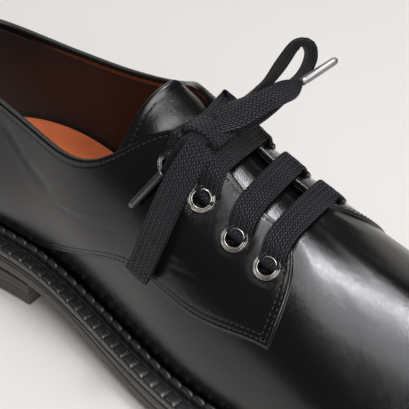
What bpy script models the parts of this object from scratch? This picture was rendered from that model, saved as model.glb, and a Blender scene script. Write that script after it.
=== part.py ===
"""A right derby shoe in black leather, laced with flat cotton laces tied in a bow.

The shoe's axis runs from the back of the heel to the toe along +X, its inner side is +Y and up is +Z.
One closed spline through the stations below gives every loop of the sole, and the upper's profiles
start on that loop, inside the welt, and rise to the edge of the collar, the facings and the throat.
"""
import math
from collections import namedtuple

import bmesh
import bpy
import numpy as np
from mathutils import Matrix, Vector

# Driving sizes, in metres
LENGTH = 0.302              # sole, heel to toe
BALL_WIDTH = 0.1035         # sole, across the ball of the foot
HEEL_HEIGHT = 0.0125        # floor to the underside of the sole at the heel
TOE_SPRING = 0.010          # rise of the sole's underside at the toe
INSTEP_HEIGHT = 0.065       # outsole's top to the front of the throat
SOLE_AT_HEEL = 0.0072       # outsole's thickness under the heel of the foot
SOLE_AT_BALL = 0.0105       # outsole's thickness under the ball of the foot
WELT_THICKNESS = 0.0030
WELT_ROUND = 0.0005         # rounding of the welt's outer edge
WELT_FLAT = 0.0052          # flat part of the welt, from the edge to its groove
WELT_GROOVE = 0.0008
RIDGE_WIDTH = 0.0028        # raised ridge of the storm welt
RIDGE_RISE = 0.0036         # ridge's top above the flat of the welt
UPPER_WALL = 0.0017         # vamp and lining
QUARTER_STEP = 0.0011       # quarter's leather, lying on the vamp
TONGUE_THICKNESS = 0.0026
INSOLE_AT_HEEL = 0.0140     # insole and its heel pad
INSOLE_AT_BALL = 0.0055
LACE_WIDTH = 0.0096
LACE_THICKNESS = 0.0015
EYELET_RADIUS = 0.0047
EYELET_HOLE = 0.0031
EYELET_RISE = 0.0011        # flange above the facing
EYELET_ROUND = 0.0006       # rounding of the flange's edges
BARREL_WALL = 0.0004        # of the eyelet's barrel in its hole
GAP = 0.0003                # left between neighbouring pieces

COLUMNS = 72                # profiles round the shoe
EDGE_OFFSET = 0.00015       # half the width of a step's slope


# Shares of the sole: along is of LENGTH, outer and inner are of BALL_WIDTH, measured from the axis.
Station = namedtuple("Station", "along outer inner")
OUTLINE = [
    Station(0.000, 0.019, -0.019),
    Station(0.030, 0.213, 0.184),
    Station(0.093, 0.324, 0.300),
    Station(0.248, 0.349, 0.324),
    Station(0.348, 0.386, 0.319),
    Station(0.447, 0.451, 0.348),
    Station(0.530, 0.493, 0.401),
    Station(0.626, 0.512, 0.459),
    Station(0.712, 0.512, 0.488),
    Station(0.801, 0.469, 0.473),
    Station(0.881, 0.372, 0.411),
    Station(0.954, 0.208, 0.271),
    Station(1.000, -0.039, 0.039),
]

# One profile of the upper for each station. It ends on the upper's free edge, on the outer side at
# top_along, top_outer and top_height and on the inner side at inner_along, top_inner and inner_height,
# shares of LENGTH, BALL_WIDTH and INSTEP_HEIGHT above the outsole. It leaves the welt by rise, of
# INSTEP_HEIGHT, and bulge, of BALL_WIDTH, and meets that edge over reach, of LENGTH, from a heading
# and a dip in degrees. The quarter's lower seam cuts it at seam, a share of the profile.
Profile = namedtuple(
    "Profile",
    "top_along top_outer top_height inner_along top_inner inner_height rise bulge reach heading dip seam",
)
PROFILES = [
    Profile(0.030, 0.000, 1.030, 0.030, 0.000, 1.030, 0.40, 0.066, 0.080, 180, 82, 0.02),
    Profile(0.044, 0.120, 1.020, 0.044, 0.118, 0.995, 0.40, 0.070, 0.080, 135, 82, 0.02),
    Profile(0.103, 0.193, 1.015, 0.103, 0.184, 0.945, 0.38, 0.076, 0.075, 100, 82, 0.02),
    Profile(0.258, 0.246, 0.925, 0.258, 0.227, 0.955, 0.35, 0.058, 0.070, 90, 78, 0.02),
    Profile(0.362, 0.263, 1.045, 0.352, 0.217, 1.110, 0.40, 0.032, 0.075, 90, 66, 0.30),
    Profile(0.445, 0.110, 1.295, 0.418, 0.115, 1.265, 0.52, 0.015, 0.110, 90, 44, 0.36),
    Profile(0.520, 0.094, 1.105, 0.510, 0.088, 1.125, 0.50, 0.015, 0.085, 84, 34, 0.36),
    Profile(0.577, 0.094, 1.000, 0.577, 0.092, 1.000, 0.62, 0.015, 0.077, 17, 21, 0.34),
    Profile(0.584, 0.075, 1.003, 0.584, 0.075, 1.003, 0.45, 0.024, 0.144, 11, 20, 0.32),
    Profile(0.586, 0.048, 1.004, 0.586, 0.048, 1.004, 0.37, 0.019, 0.161, 10, 19, 0.30),
    Profile(0.586, 0.028, 1.002, 0.586, 0.028, 1.002, 0.37, 0.020, 0.165, 5, 18, 0.30),
    Profile(0.586, 0.013, 1.000, 0.586, 0.013, 1.000, 0.37, 0.020, 0.165, 3, 18, 0.30),
    Profile(0.586, 0.000, 1.000, 0.586, 0.000, 1.000, 0.37, 0.020, 0.165, 0, 18, 0.30),
]
CORNER_STATION = 7          # its profile is the quarters' front edge


def smooth_step(value, start, end):
    """0 before start, 1 after end, and 3s^2 - 2s^3 between them."""
    s = np.clip((value - start) / (end - start), 0.0, 1.0)
    return s * s * (3.0 - 2.0 * s)


def closed_spline(knots, values, where):
    """Cubic spline of period 1 through values at knots: its second derivatives solve the usual
    system that makes the first derivative continuous at every knot."""
    count = len(knots)
    steps = np.diff(np.append(knots, knots[0] + 1.0))
    rises = (np.roll(values, -1, axis=0) - values) / steps[:, None]
    system = np.zeros((count, count))
    for row in range(count):
        before = steps[row - 1]
        system[row, row - 1] += before
        system[row, row] += 2.0 * (before + steps[row])
        system[row, (row + 1) % count] += steps[row]
    bends = np.linalg.solve(system, 6.0 * (rises - np.roll(rises, 1, axis=0)))
    where = np.mod(where, 1.0)
    left = np.searchsorted(knots, where, side="right") - 1
    right = (left + 1) % count
    h = steps[left][:, None]
    b = (where - knots[left])[:, None] / h
    a = 1.0 - b
    cubic = ((a ** 3 - a) * bends[left] + (b ** 3 - b) * bends[right]) * h * h / 6.0
    return a * values[left] + b * values[right] + cubic


def ring_knots():
    """Share of the way round, from the back of the heel along the outer side, of every station."""
    along = np.array([s.along for s in OUTLINE]) * LENGTH
    half = np.array([(s.outer + s.inner) / 2.0 for s in OUTLINE]) * BALL_WIDTH
    walked = np.cumsum(np.append(0.0, np.hypot(np.diff(along), np.diff(half))))
    outer = 0.5 * walked / walked[-1]
    return np.append(outer, (1.0 - outer[1:-1])[::-1])


KNOTS = ring_knots()


def ring(outer, inner):
    """Values of the stations on the outer side, then back along the inner side."""
    return np.append(outer, inner[-2:0:-1])


def round_the_shoe(where, columns):
    """Columns of a table, given as outer and inner values, read at shares round the shoe."""
    table = np.stack([ring(np.asarray(o, float), np.asarray(i, float)) for o, i in columns], axis=1)
    return closed_spline(KNOTS, table, np.asarray(where, float)).T


def outline(where, inset):
    """Points of the sole's outline, moved inwards by inset along the outline's own normal, with that
    outward normal. The outline is centred on its own box."""
    along = [s.along * LENGTH for s in OUTLINE]
    sides = ([-s.outer * BALL_WIDTH for s in OUTLINE], [s.inner * BALL_WIDTH for s in OUTLINE])
    nudge = 1e-4
    read = lambda shift: np.stack(round_the_shoe(np.asarray(where) + shift, [(along, along), sides]), 1)
    tangent = read(nudge) - read(-nudge)
    tangent /= np.linalg.norm(tangent, axis=1)[:, None]
    outward = np.stack([tangent[:, 1], -tangent[:, 0]], axis=1)
    return read(0.0) - inset * outward, outward


def outline_centre():
    points, _ = outline(np.linspace(0.0, 1.0, 721), 0.0)
    return (points.min(axis=0) + points.max(axis=0)) / 2.0


CENTRE = outline_centre()


def underside(x):
    """Height of the sole's underside: flat on the heel, down the waist, flat at the ball, up at the
    toe."""
    waist = 1.0 - smooth_step(x, 0.18 * LENGTH, 0.55 * LENGTH)
    spring = np.clip((x / LENGTH - 0.745) / 0.255, 0.0, None) ** 1.8
    return HEEL_HEIGHT * waist + TOE_SPRING * spring


def seat(x):
    """Height of the outsole's top, on which the welt, the upper and the insole stand."""
    grown = smooth_step(x, 0.30 * LENGTH, 0.50 * LENGTH)
    return underside(x) + SOLE_AT_HEEL + (SOLE_AT_BALL - SOLE_AT_HEEL) * grown


WELT_WIDTH = WELT_FLAT + WELT_GROOVE + RIDGE_WIDTH
FOOT_HEIGHT = WELT_THICKNESS + RIDGE_RISE + GAP


def upper_profiles(where):
    """The four control points of the profile at each share round the shoe: above the welt, straight
    over it, out from the free edge, and on the free edge."""
    feather, outward = outline(where, WELT_WIDTH + GAP)
    column = {name: [getattr(p, name) for p in PROFILES] for name in Profile._fields}
    turned = np.radians(column["heading"])
    top_along, side, height, rise, bulge, reach, dip, ahead, aside = round_the_shoe(where, [
        (column["top_along"], column["inner_along"]),
        (-np.array(column["top_outer"]), column["top_inner"]),
        (column["top_height"], column["inner_height"]),
        (column["rise"], column["rise"]),
        (column["bulge"], column["bulge"]),
        (column["reach"], column["reach"]),
        (column["dip"], column["dip"]),
        (np.cos(turned), np.cos(turned)),
        (-np.sin(turned), np.sin(turned)),
    ])
    heading = np.stack([ahead, aside]) / np.hypot(ahead, aside)
    top_x = top_along * LENGTH
    top = np.stack([top_x, side * BALL_WIDTH, seat(top_x) + height * INSTEP_HEIGHT], axis=1)
    start = np.column_stack([feather, seat(feather[:, 0]) + GAP + FOOT_HEIGHT])
    leave = start + np.column_stack([bulge[:, None] * BALL_WIDTH * outward, rise * INSTEP_HEIGHT])
    fall = np.radians(dip)
    away = np.column_stack([np.cos(fall) * heading[0], np.cos(fall) * heading[1], -np.sin(fall)])
    arrive = top + away * (reach * LENGTH)[:, None]
    return start, leave, arrive, top


def upper_surface(where, share):
    """Points of the vamp's outer skin: a cubic Bezier curve from the welt to the free edge."""
    start, leave, arrive, top = upper_profiles(where)
    t = np.asarray(share)[:, None]
    s = 1.0 - t
    return s ** 3 * start + 3 * s * s * t * leave + 3 * s * t * t * arrive + t ** 3 * top


def surface_normal(where, share):
    """Outward normal of the vamp's skin, from the directions round the shoe and up the profile."""
    nudge = 1e-3
    where = np.asarray(where, float)
    share = np.asarray(share, float)
    low = np.clip(share - nudge, 0.0, 1.0)
    high = np.clip(share + nudge, 0.0, 1.0)
    round_it = upper_surface(where + nudge, share) - upper_surface(where - nudge, share)
    up_it = upper_surface(where, high) - upper_surface(where, low)
    normal = np.cross(round_it, up_it)
    return normal / np.linalg.norm(normal, axis=1)[:, None]


def skin_at(x, y):
    """Point and normal of the skin above (x, y), found by Newton's method from the nearest sample.
    Beyond the free edge it gives the nearest place on that edge."""
    grid = np.meshgrid(np.linspace(0.0, 1.0, 181), np.linspace(0.2, 1.0, 25))
    where, share = [values.ravel() for values in grid]
    samples = upper_surface(where, share)
    nearest = np.argmin(np.hypot(samples[:, 0] - x, samples[:, 1] - y))
    guess = np.array([where[nearest], share[nearest]])
    nudge = 1e-4
    for _ in range(8):
        around = guess + nudge * np.array([[0, 0], [1, 0], [0, 1]])
        p, pu, pt = upper_surface(around[:, 0], around[:, 1])[:, :2]
        slope = np.column_stack([(pu - p) / nudge, (pt - p) / nudge])
        step = np.linalg.solve(slope, np.array([x, y]) - p)
        guess = guess + np.clip(step, -0.05, 0.05)
        guess[1] = min(guess[1], 1.0)
    return upper_surface(guess[:1], guess[1:])[0], surface_normal(guess[:1], guess[1:])[0]


# Building meshes and materials

def material(name, colour, roughness, metallic=0.0):
    made = bpy.data.materials.new(name)
    made.use_nodes = True
    shader = made.node_tree.nodes["Principled BSDF"]
    shader.inputs["Base Color"].default_value = (*colour, 1.0)
    shader.inputs["Roughness"].default_value = roughness
    shader.inputs["Metallic"].default_value = metallic
    return made


def add_object(name, mesh, made, collection):
    """Put a mesh in the scene as one smooth object whose normals point out."""
    work = bmesh.new()
    work.from_mesh(mesh)
    bmesh.ops.remove_doubles(work, verts=work.verts, dist=1e-6)
    bmesh.ops.recalc_face_normals(work, faces=work.faces)
    bmesh.ops.triangulate(work, faces=[f for f in work.faces if len(f.verts) > 3])
    work.to_mesh(mesh)
    work.free()
    mesh.materials.append(made)
    mesh.shade_smooth()
    mesh.set_sharp_from_angle(angle=math.radians(35))
    placed = bpy.data.objects.new(name, mesh)
    collection.objects.link(placed)
    return placed


def loops_mesh(name, loops, joined):
    """Mesh through closed loops of equal counts. Joined, the last loop meets the first, as in a ring
    of any section; otherwise strips from side to side close the first and the last loop."""
    count = len(loops[0])
    points = np.concatenate(loops) - np.array([CENTRE[0], CENTRE[1], 0.0])
    faces = []
    pairs = list(range(len(loops) - 1)) + ([len(loops) - 1] if joined else [])
    for row in pairs:
        below, above = row * count, (row + 1) % len(loops) * count
        for i in range(count):
            j = (i + 1) % count
            faces.append((below + i, below + j, above + j, above + i))
    if not joined:
        half = count // 2
        for first in (0, (len(loops) - 1) * count):
            faces.append((first, first + 1, first + count - 1))
            for i in range(1, half - 1):
                faces.append((first + i, first + i + 1, first + count - i - 1, first + count - i))
            faces.append((first + half - 1, first + half, first + half + 1))
    mesh = bpy.data.meshes.new(name)
    mesh.from_pydata(points.tolist(), [], faces)
    return mesh


def even_columns():
    return np.arange(COLUMNS) / COLUMNS


def upper_columns():
    """Even columns round the shoe, with a close pair in place of those next to each front edge of the
    quarters, so that the quarter ends there in a step."""
    front = KNOTS[CORNER_STATION]
    slope = EDGE_OFFSET / (2.0 * LENGTH)
    columns = even_columns()
    for edge in (front, 1.0 - front):
        columns = columns[np.abs(columns - edge) > 0.4 / COLUMNS]
        columns = np.append(columns, (edge - slope, edge + slope))
    return np.sort(columns)


def make_upper(made, collection):
    """Vamp and quarters as one wall, open at the collar and throat and underneath, with the quarters
    standing out from the vamp by their own leather."""
    columns = upper_columns()
    seam_shares = [p.seam for p in PROFILES]
    seam = np.clip(round_the_shoe(columns, [(seam_shares, seam_shares)])[0], 0.02, 1.0)
    front = KNOTS[CORNER_STATION]
    quarter = (columns < front) | (columns > 1.0 - front)
    slope = 2.0 * EDGE_OFFSET / INSTEP_HEIGHT
    outer = [(seam * k, 0.0) for k in (0.0, 1 / 3, 2 / 3)]
    outer += [(seam - slope, 0.0), (seam, 1.0)]
    outer += [(seam + (1.0 - seam) * k / 7, 1.0) for k in range(1, 8)]
    loops = []
    start, _, _, _ = upper_profiles(columns)
    sole_line = start.copy()
    sole_line[:, 2] = seat(start[:, 0]) + GAP
    loops.append(sole_line)
    for share, raised in outer:
        offset = QUARTER_STEP * raised * quarter
        loops.append(upper_surface(columns, share) + surface_normal(columns, share) * offset[:, None])
    for share in np.linspace(1.0, 0.0, 9):
        level = np.full(len(columns), share)
        loops.append(upper_surface(columns, level) - surface_normal(columns, level) * UPPER_WALL)
    _, outward = outline(columns, 0.0)
    foot_line = sole_line.copy()
    foot_line[:, :2] -= outward * UPPER_WALL
    loops.append(foot_line)
    return add_object("upper", loops_mesh("upper", loops, True), made, collection)


def strip_faces(rows, count):
    """Four-sided faces that join rows of count points each, every row closed on itself."""
    faces = []
    for row in range(rows - 1):
        for i in range(count):
            after = (i + 1) % count
            here, above = row * count, (row + 1) * count
            faces.append((here + i, here + after, above + after, above + i))
    return faces


def sole_loop(columns, inset, height):
    """A loop of the outline, at a height that is a function of the distance along the shoe."""
    points, _ = outline(columns, inset)
    return np.column_stack([points, height(points[:, 0])])


def make_outsole(made, collection):
    """One slab from heel to toe, with a rounded lower edge and a groove along its side."""
    columns = even_columns()
    side = [
        (0.0030, 0.0), (0.0008, 0.0006), (0.0, 0.0020), (0.0, 0.0052), (0.0005, 0.0056),
        (0.0005, 0.0060), (0.0, 0.0064),
    ]
    loops = [sole_loop(columns, inset, lambda x, up=up: underside(x) + up) for inset, up in side]
    loops.append(sole_loop(columns, 0.0002, lambda x: seat(x)))
    return add_object("outsole", loops_mesh("outsole", loops, False), made, collection)


HEEL_LENGTH = 0.076         # back of the sole to the heel's straight breast
HEEL_INSET = 0.0008
TOP_LIFT = 0.0060           # rubber lift on the floor
LIFT_GROOVE = 0.0005


def heel_outline(inset):
    """The sole's outline behind the breast, inset, and the straight breast itself, as one loop."""
    share = np.interp(HEEL_LENGTH, [s.along * LENGTH for s in OUTLINE], KNOTS[:len(OUTLINE)])
    half = np.linspace(0.0, share, 15)
    where = np.concatenate([half, 1.0 - half[:0:-1]])
    points, _ = outline(where, inset)
    points[:, 0] = np.minimum(points[:, 0], HEEL_LENGTH - inset)
    return points


def make_heel(made, collection):
    """Heel block of a rubber lift under a stack, with a groove where they meet."""
    levels = [
        (0.0016, 0.0), (0.0, 0.0012), (0.0, TOP_LIFT - LIFT_GROOVE), (LIFT_GROOVE, TOP_LIFT),
        (0.0, TOP_LIFT + LIFT_GROOVE),
    ]
    loops = []
    for inset, up in levels:
        points = heel_outline(HEEL_INSET + inset)
        loops.append(np.column_stack([points, np.full(len(points), up)]))
    points = heel_outline(HEEL_INSET)
    loops.append(np.column_stack([points, underside(points[:, 0]) - GAP]))
    count = len(points)
    mesh = bpy.data.meshes.new("heel")
    stacked = np.concatenate(loops) - np.array([CENTRE[0], CENTRE[1], 0.0])
    faces = strip_faces(len(loops), count)
    for first in (0, (len(loops) - 1) * count):
        last = first + count - 1
        faces.append((first, first + 1, last))
        faces += [(first + i, first + i + 1, last - i, last - i + 1) for i in range(1, count // 2)]
    mesh.from_pydata(stacked.tolist(), [], faces)
    return add_object("heel", mesh, made, collection)


def make_welt(made, collection):
    """Storm welt: a flat strip level with the sole's edge, a groove and a ridge against the upper."""
    columns = even_columns()
    ridge_start = WELT_FLAT + WELT_GROOVE
    section = [
        (GAP, GAP), (0.0, WELT_THICKNESS - WELT_ROUND), (WELT_ROUND, WELT_THICKNESS),
        (WELT_FLAT, WELT_THICKNESS),
        (ridge_start, WELT_THICKNESS - WELT_GROOVE),
        (ridge_start + 0.15 * RIDGE_WIDTH, WELT_THICKNESS + 0.75 * RIDGE_RISE),
        (ridge_start + 0.55 * RIDGE_WIDTH, WELT_THICKNESS + RIDGE_RISE),
        (WELT_WIDTH, WELT_THICKNESS + 0.80 * RIDGE_RISE), (WELT_WIDTH, GAP),
    ]
    loops = [sole_loop(columns, inset, lambda x, up=up: seat(x) + up) for inset, up in section]
    return add_object("welt", loops_mesh("welt", loops, True), made, collection)


INSOLE_CUP = 0.0045         # rise of the insole's edge at the heel
INSOLE_SPREAD = 0.0018      # the cup's edge beyond the insole's foot, where the heel's wall bulges
INSOLE_WALL = 0.0060        # height over which the heel's wall bulges out to the cup's edge
INSOLE_LIP = 0.0010         # thickness of the cup's edge
INSOLE_SLOPE = 0.0070       # width of the slope from the cup's edge to the flat middle


def make_insole(made, collection):
    """Insole on the outsole, inside the upper's wall, cupped at the heel."""
    columns = even_columns()
    inset = WELT_WIDTH + UPPER_WALL + 2.0 * GAP

    def top(x):
        worn = smooth_step(x, 0.25 * LENGTH, 0.55 * LENGTH)
        return seat(x) + INSOLE_AT_HEEL + (INSOLE_AT_BALL - INSOLE_AT_HEEL) * worn

    def cupped(x):
        return 1.0 - smooth_step(x, 0.15 * LENGTH, 0.42 * LENGTH)

    def lip(x):
        return top(x) + INSOLE_CUP * (0.2 + 0.8 * cupped(x))

    along = outline(columns, inset)[0][:, 0]
    spread = inset - INSOLE_SPREAD * cupped(along)[:, None]
    loops = [
        sole_loop(columns, inset, lambda x: seat(x) + GAP),
        sole_loop(columns, inset, lambda x: lip(x) - INSOLE_WALL * cupped(x) - INSOLE_LIP),
        sole_loop(columns, spread, lambda x: lip(x) - INSOLE_LIP),
        sole_loop(columns, spread + INSOLE_LIP, lip),
        sole_loop(columns, inset + INSOLE_SLOPE, top),
    ]
    return add_object("insole", loops_mesh("insole", loops, False), made, collection)


# Rows of the tongue from under the vamp to its top edge: centre along (of LENGTH) and height (of
# INSTEP_HEIGHT above the outsole), its width to each side (of BALL_WIDTH), how far each edge hangs
# below the centre (of INSTEP_HEIGHT), and how far the edges lie behind it (of LENGTH).
TongueRow = namedtuple(
    "TongueRow", "along height outer inner outer_drop inner_drop outer_sweep inner_sweep roll")
TONGUE = [
    TongueRow(0.612, 0.865, 0.100, 0.100, 0.030, 0.030, 0.000, 0.000, 1.8),
    TongueRow(0.570, 0.965, 0.190, 0.190, 0.115, 0.115, 0.000, 0.000, 1.8),
    TongueRow(0.520, 1.075, 0.225, 0.225, 0.225, 0.225, 0.000, 0.000, 1.8),
    TongueRow(0.474, 1.175, 0.250, 0.240, 0.330, 0.320, 0.002, 0.002, 1.8),
    TongueRow(0.434, 1.270, 0.250, 0.190, 0.380, 0.285, 0.006, 0.003, 1.9),
    TongueRow(0.410, 1.360, 0.240, 0.115, 0.375, 0.215, 0.014, 0.000, 2.2),
    TongueRow(0.397, 1.420, 0.222, 0.070, 0.335, 0.200, 0.023, -0.006, 2.4),
]


SWEEP_POWER = 1.5           # of the share across the tongue, for how its ends sweep back


def make_tongue(made, collection):
    """Curved plate through the rows above, closed round its edge by its own thickness."""
    across = np.linspace(-1.0, 1.0, 11)
    top_rows = []
    for row in TONGUE:
        width = np.where(across < 0.0, row.outer, row.inner) * BALL_WIDTH
        drop = np.where(across < 0.0, row.outer_drop, row.inner_drop) * INSTEP_HEIGHT
        sweep = np.where(across < 0.0, row.outer_sweep, row.inner_sweep)
        x = (row.along - sweep * np.abs(across) ** SWEEP_POWER) * LENGTH
        height = seat(row.along * LENGTH) + row.height * INSTEP_HEIGHT
        z = height - drop * np.abs(across) ** row.roll
        top_rows.append(np.column_stack([x, across * width, z]))
    top = np.array(top_rows)
    down_row, down_column = np.gradient(top, axis=(0, 1))
    normal = np.cross(down_column, down_row)
    normal /= np.linalg.norm(normal, axis=2)[:, :, None]
    normal *= np.sign(normal[:, :, 2:3].mean())
    bottom = top - normal * TONGUE_THICKNESS
    rows, count = top.shape[:2]
    points = np.concatenate([top.reshape(-1, 3), bottom.reshape(-1, 3)])
    points -= np.array([CENTRE[0], CENTRE[1], 0.0])
    faces = []
    for layer in (0, rows * count):
        for i in range(rows - 1):
            for j in range(count - 1):
                first = layer + i * count + j
                faces.append((first, first + 1, first + count + 1, first + count))
    rim = list(range(count)) + [i * count + count - 1 for i in range(1, rows)]
    rim += [(rows - 1) * count + j for j in range(count - 2, -1, -1)]
    rim += [i * count for i in range(rows - 2, 0, -1)]
    for a, b in zip(rim, rim[1:] + rim[:1]):
        faces.append((a, b, b + rows * count, a + rows * count))
    mesh = bpy.data.meshes.new("tongue")
    mesh.from_pydata(points.tolist(), [], faces)
    return add_object("tongue", mesh, made, collection)


# Eyelets from the throat up: along and inner_along are of LENGTH, outer and inner of BALL_WIDTH. The
# lace's bar through them leaves the facings at edge, of BALL_WIDTH, to either side of the axis, and runs
# clear of them by that much.
Eyelet = namedtuple("Eyelet", "along outer inner_along inner edge clear")
EYELETS = [
    Eyelet(0.590, 0.214, 0.581, 0.186, 0.098, 0.0008),
    Eyelet(0.543, 0.205, 0.532, 0.180, 0.096, 0.0008),
    Eyelet(0.492, 0.190, 0.482, 0.176, 0.098, 0.0008),
    Eyelet(0.448, 0.184, 0.434, 0.172, 0.115, 0.0019),
]


def facing_at(x, y):
    """Point and normal on the quarter's skin, which stands out from the vamp's."""
    point, normal = skin_at(x, y)
    return point + normal * QUARTER_STEP, normal


def eyelet_places(row):
    """Outer and inner place of one row of eyelets."""
    outer = facing_at(row.along * LENGTH, -row.outer * BALL_WIDTH)
    return outer, facing_at(row.inner_along * LENGTH, row.inner * BALL_WIDTH)


def standing_on(point, normal):
    """Matrix that takes the origin and +Z to a place on the shoe and its normal."""
    turned = Vector(normal).to_track_quat("Z", "Y").to_matrix().to_4x4()
    return Matrix.Translation(Vector(point) - Vector((CENTRE[0], CENTRE[1], 0.0))) @ turned


def add_turned(name, profile, steps, made, collection, matrix):
    """Solid of revolution about +Z from a closed profile of radius and height."""
    mesh = bpy.data.meshes.new(name)
    points = [(radius, 0.0, height) for radius, height in profile]
    edges = [(i, (i + 1) % len(points)) for i in range(len(points))]
    mesh.from_pydata(points, edges, [])
    turned = bpy.data.objects.new(name, mesh)
    screw = turned.modifiers.new("turn", "SCREW")
    screw.axis = "Z"
    screw.steps = steps
    screw.render_steps = steps
    screw.use_merge_vertices = True
    screw.merge_threshold = 1e-5
    collection.objects.link(turned)
    mesh.materials.append(made)
    turned.matrix_world = matrix
    return turned


def make_eyelets(made, collection):
    """Rolled flanges on the facings, each with a short barrel in its hole."""
    barrel = QUARTER_STEP + UPPER_WALL
    profile = [
        (EYELET_HOLE, -barrel), (EYELET_HOLE, 0.55 * EYELET_RISE),
        (EYELET_HOLE + EYELET_ROUND, EYELET_RISE), (EYELET_RADIUS - EYELET_ROUND, EYELET_RISE),
        (EYELET_RADIUS, 0.5 * EYELET_RISE), (EYELET_RADIUS - 0.5 * EYELET_ROUND, GAP),
        (EYELET_HOLE + BARREL_WALL, GAP), (EYELET_HOLE + BARREL_WALL, -barrel),
    ]
    for number, row in enumerate(EYELETS, start=1):
        for side, (point, normal) in zip(("outer", "inner"), eyelet_places(row)):
            matrix = standing_on(point, normal)
            add_turned(f"eyelet_{side}_{number}", profile, 16, made, collection, matrix)


def cut_eyelet_holes(upper, cutters):
    """Cut a round hole through the facing under every eyelet."""
    radius = EYELET_HOLE + BARREL_WALL + GAP
    depth = 2.0 * (EYELET_RISE + QUARTER_STEP + UPPER_WALL)
    for number, row in enumerate(EYELETS, start=1):
        for side, (point, normal) in zip(("outer", "inner"), eyelet_places(row)):
            work = bmesh.new()
            bmesh.ops.create_cone(
                work, cap_ends=True, segments=12, radius1=radius, radius2=radius, depth=depth)
            mesh = bpy.data.meshes.new(f"hole_{side}_{number}")
            work.to_mesh(mesh)
            work.free()
            cutter = bpy.data.objects.new(mesh.name, mesh)
            cutter.matrix_world = standing_on(point, normal)
            cutter.hide_render = True
            cutter.display_type = "WIRE"
            cutters.objects.link(cutter)
            cut = upper.modifiers.new(mesh.name, "BOOLEAN")
            cut.operation = "DIFFERENCE"
            cut.solver = "EXACT"
            cut.object = cutter


def smooth_route(points, count):
    """Evenly spaced points on a smooth curve through chosen ones: a Catmull-Rom spline read finely,
    then resampled by length. Extra columns of the points are carried along."""
    p = np.asarray(points, float)
    p = np.vstack([2.0 * p[0] - p[1], p, 2.0 * p[-1] - p[-2]])
    t = np.linspace(0.0, 1.0, 24, endpoint=False)[:, None]
    fine = []
    for a, b, c, d in zip(p, p[1:], p[2:], p[3:]):
        fine.append(b + 0.5 * t * (c - a + t * (2 * a - 5 * b + 4 * c - d + t * (3 * (b - c) + d - a))))
    fine = np.vstack(fine + [p[-2:-1]])
    walked = np.append(0.0, np.cumsum(np.linalg.norm(np.diff(fine[:, :3], axis=0), axis=1)))
    even = np.linspace(0.0, walked[-1], count)
    return np.column_stack([np.interp(even, walked, fine[:, k]) for k in range(fine.shape[1])])


def band_mesh(name, route, width, thickness):
    """Flat lace along a route of x, y, z, the direction across the lace and its share of the width: an
    eight-sided section with its edges rounded."""
    centre, across, share = route[:, :3], route[:, 3:6], route[:, 6:7]
    ahead = np.gradient(centre, axis=0)
    ahead /= np.linalg.norm(ahead, axis=1)[:, None]
    across = across - ahead * np.sum(across * ahead, axis=1)[:, None]
    across /= np.linalg.norm(across, axis=1)[:, None]
    face = np.cross(ahead, across)
    flat = 1.0 - 0.8 * thickness / width
    section = [
        (1.0, 0.5), (flat, 1.0), (-flat, 1.0), (-1.0, 0.5),
        (-1.0, -0.5), (-flat, -1.0), (flat, -1.0), (1.0, -0.5),
    ]
    aside = across * (0.5 * width) * share
    rings = [centre + aside * w + face * (0.5 * thickness * h) for w, h in section]
    sides = len(section)
    points = np.stack(rings, axis=1).reshape(-1, 3)
    faces = strip_faces(len(centre), sides)
    faces += [tuple(range(sides)), tuple(range(len(points) - sides, len(points)))]
    mesh = bpy.data.meshes.new(name)
    mesh.from_pydata(points.tolist(), [], faces)
    return mesh


BAR_CROWN = 0.0010          # lace's middle above the facings' edges


def bar_route(row, forward):
    """Route of one bar over the facings, from the outer eyelet to the inner one. It lies on the skin up
    to the facings' edges, crosses the throat with a slight crown, and may bow forward in its middle."""
    centre = np.array([CENTRE[0], CENTRE[1], 0.0])
    y_outer, y_inner = -row.outer * BALL_WIDTH, row.inner * BALL_WIDTH
    edge = row.edge * BALL_WIDTH
    rise = row.clear + LACE_THICKNESS / 2.0
    rows = []
    past_flange = EYELET_RADIUS + 0.001
    reach = LACE_WIDTH / 2.0
    for y in (y_outer, y_outer + past_flange, -edge, 0.0, edge, y_inner - past_flange, y_inner):
        share = (y - y_outer) / (y_inner - y_outer)
        x = (row.along + (row.inner_along - row.along) * share) * LENGTH
        x += forward * math.sin(math.pi * share)
        sides = (-edge, edge) if y == 0.0 else (y,)
        back, middle, front = [
            np.mean([facing_at(x + shift, side) for side in sides], axis=0)
            for shift in (-reach, 0.0, reach)
        ]
        under = np.array([x, y, (back[0][2] + front[0][2]) / 2.0])
        lifted = max(0.0, np.dot(middle[0] - under, middle[1]))
        over = rise + lifted
        if abs(y) > edge:
            over += EYELET_RISE + GAP
        if y == 0.0:
            over += BAR_CROWN
        across = np.array([2.0 * reach, 0.0, front[0][2] - back[0][2]])
        rows.append(np.concatenate([under + middle[1] * over - centre, across, [1.0]]))
    return smooth_route(rows, 13)


def make_bars(made, collection):
    """Four straight bars. The top one bows forward to the knot that lies on it."""
    for number, row in enumerate(EYELETS, start=1):
        forward = 0.003 if number == len(EYELETS) else 0.0
        mesh = band_mesh(f"lace_bar_{number}", bar_route(row, forward), LACE_WIDTH, LACE_THICKNESS)
        add_object(mesh.name, mesh, made, collection)


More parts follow.
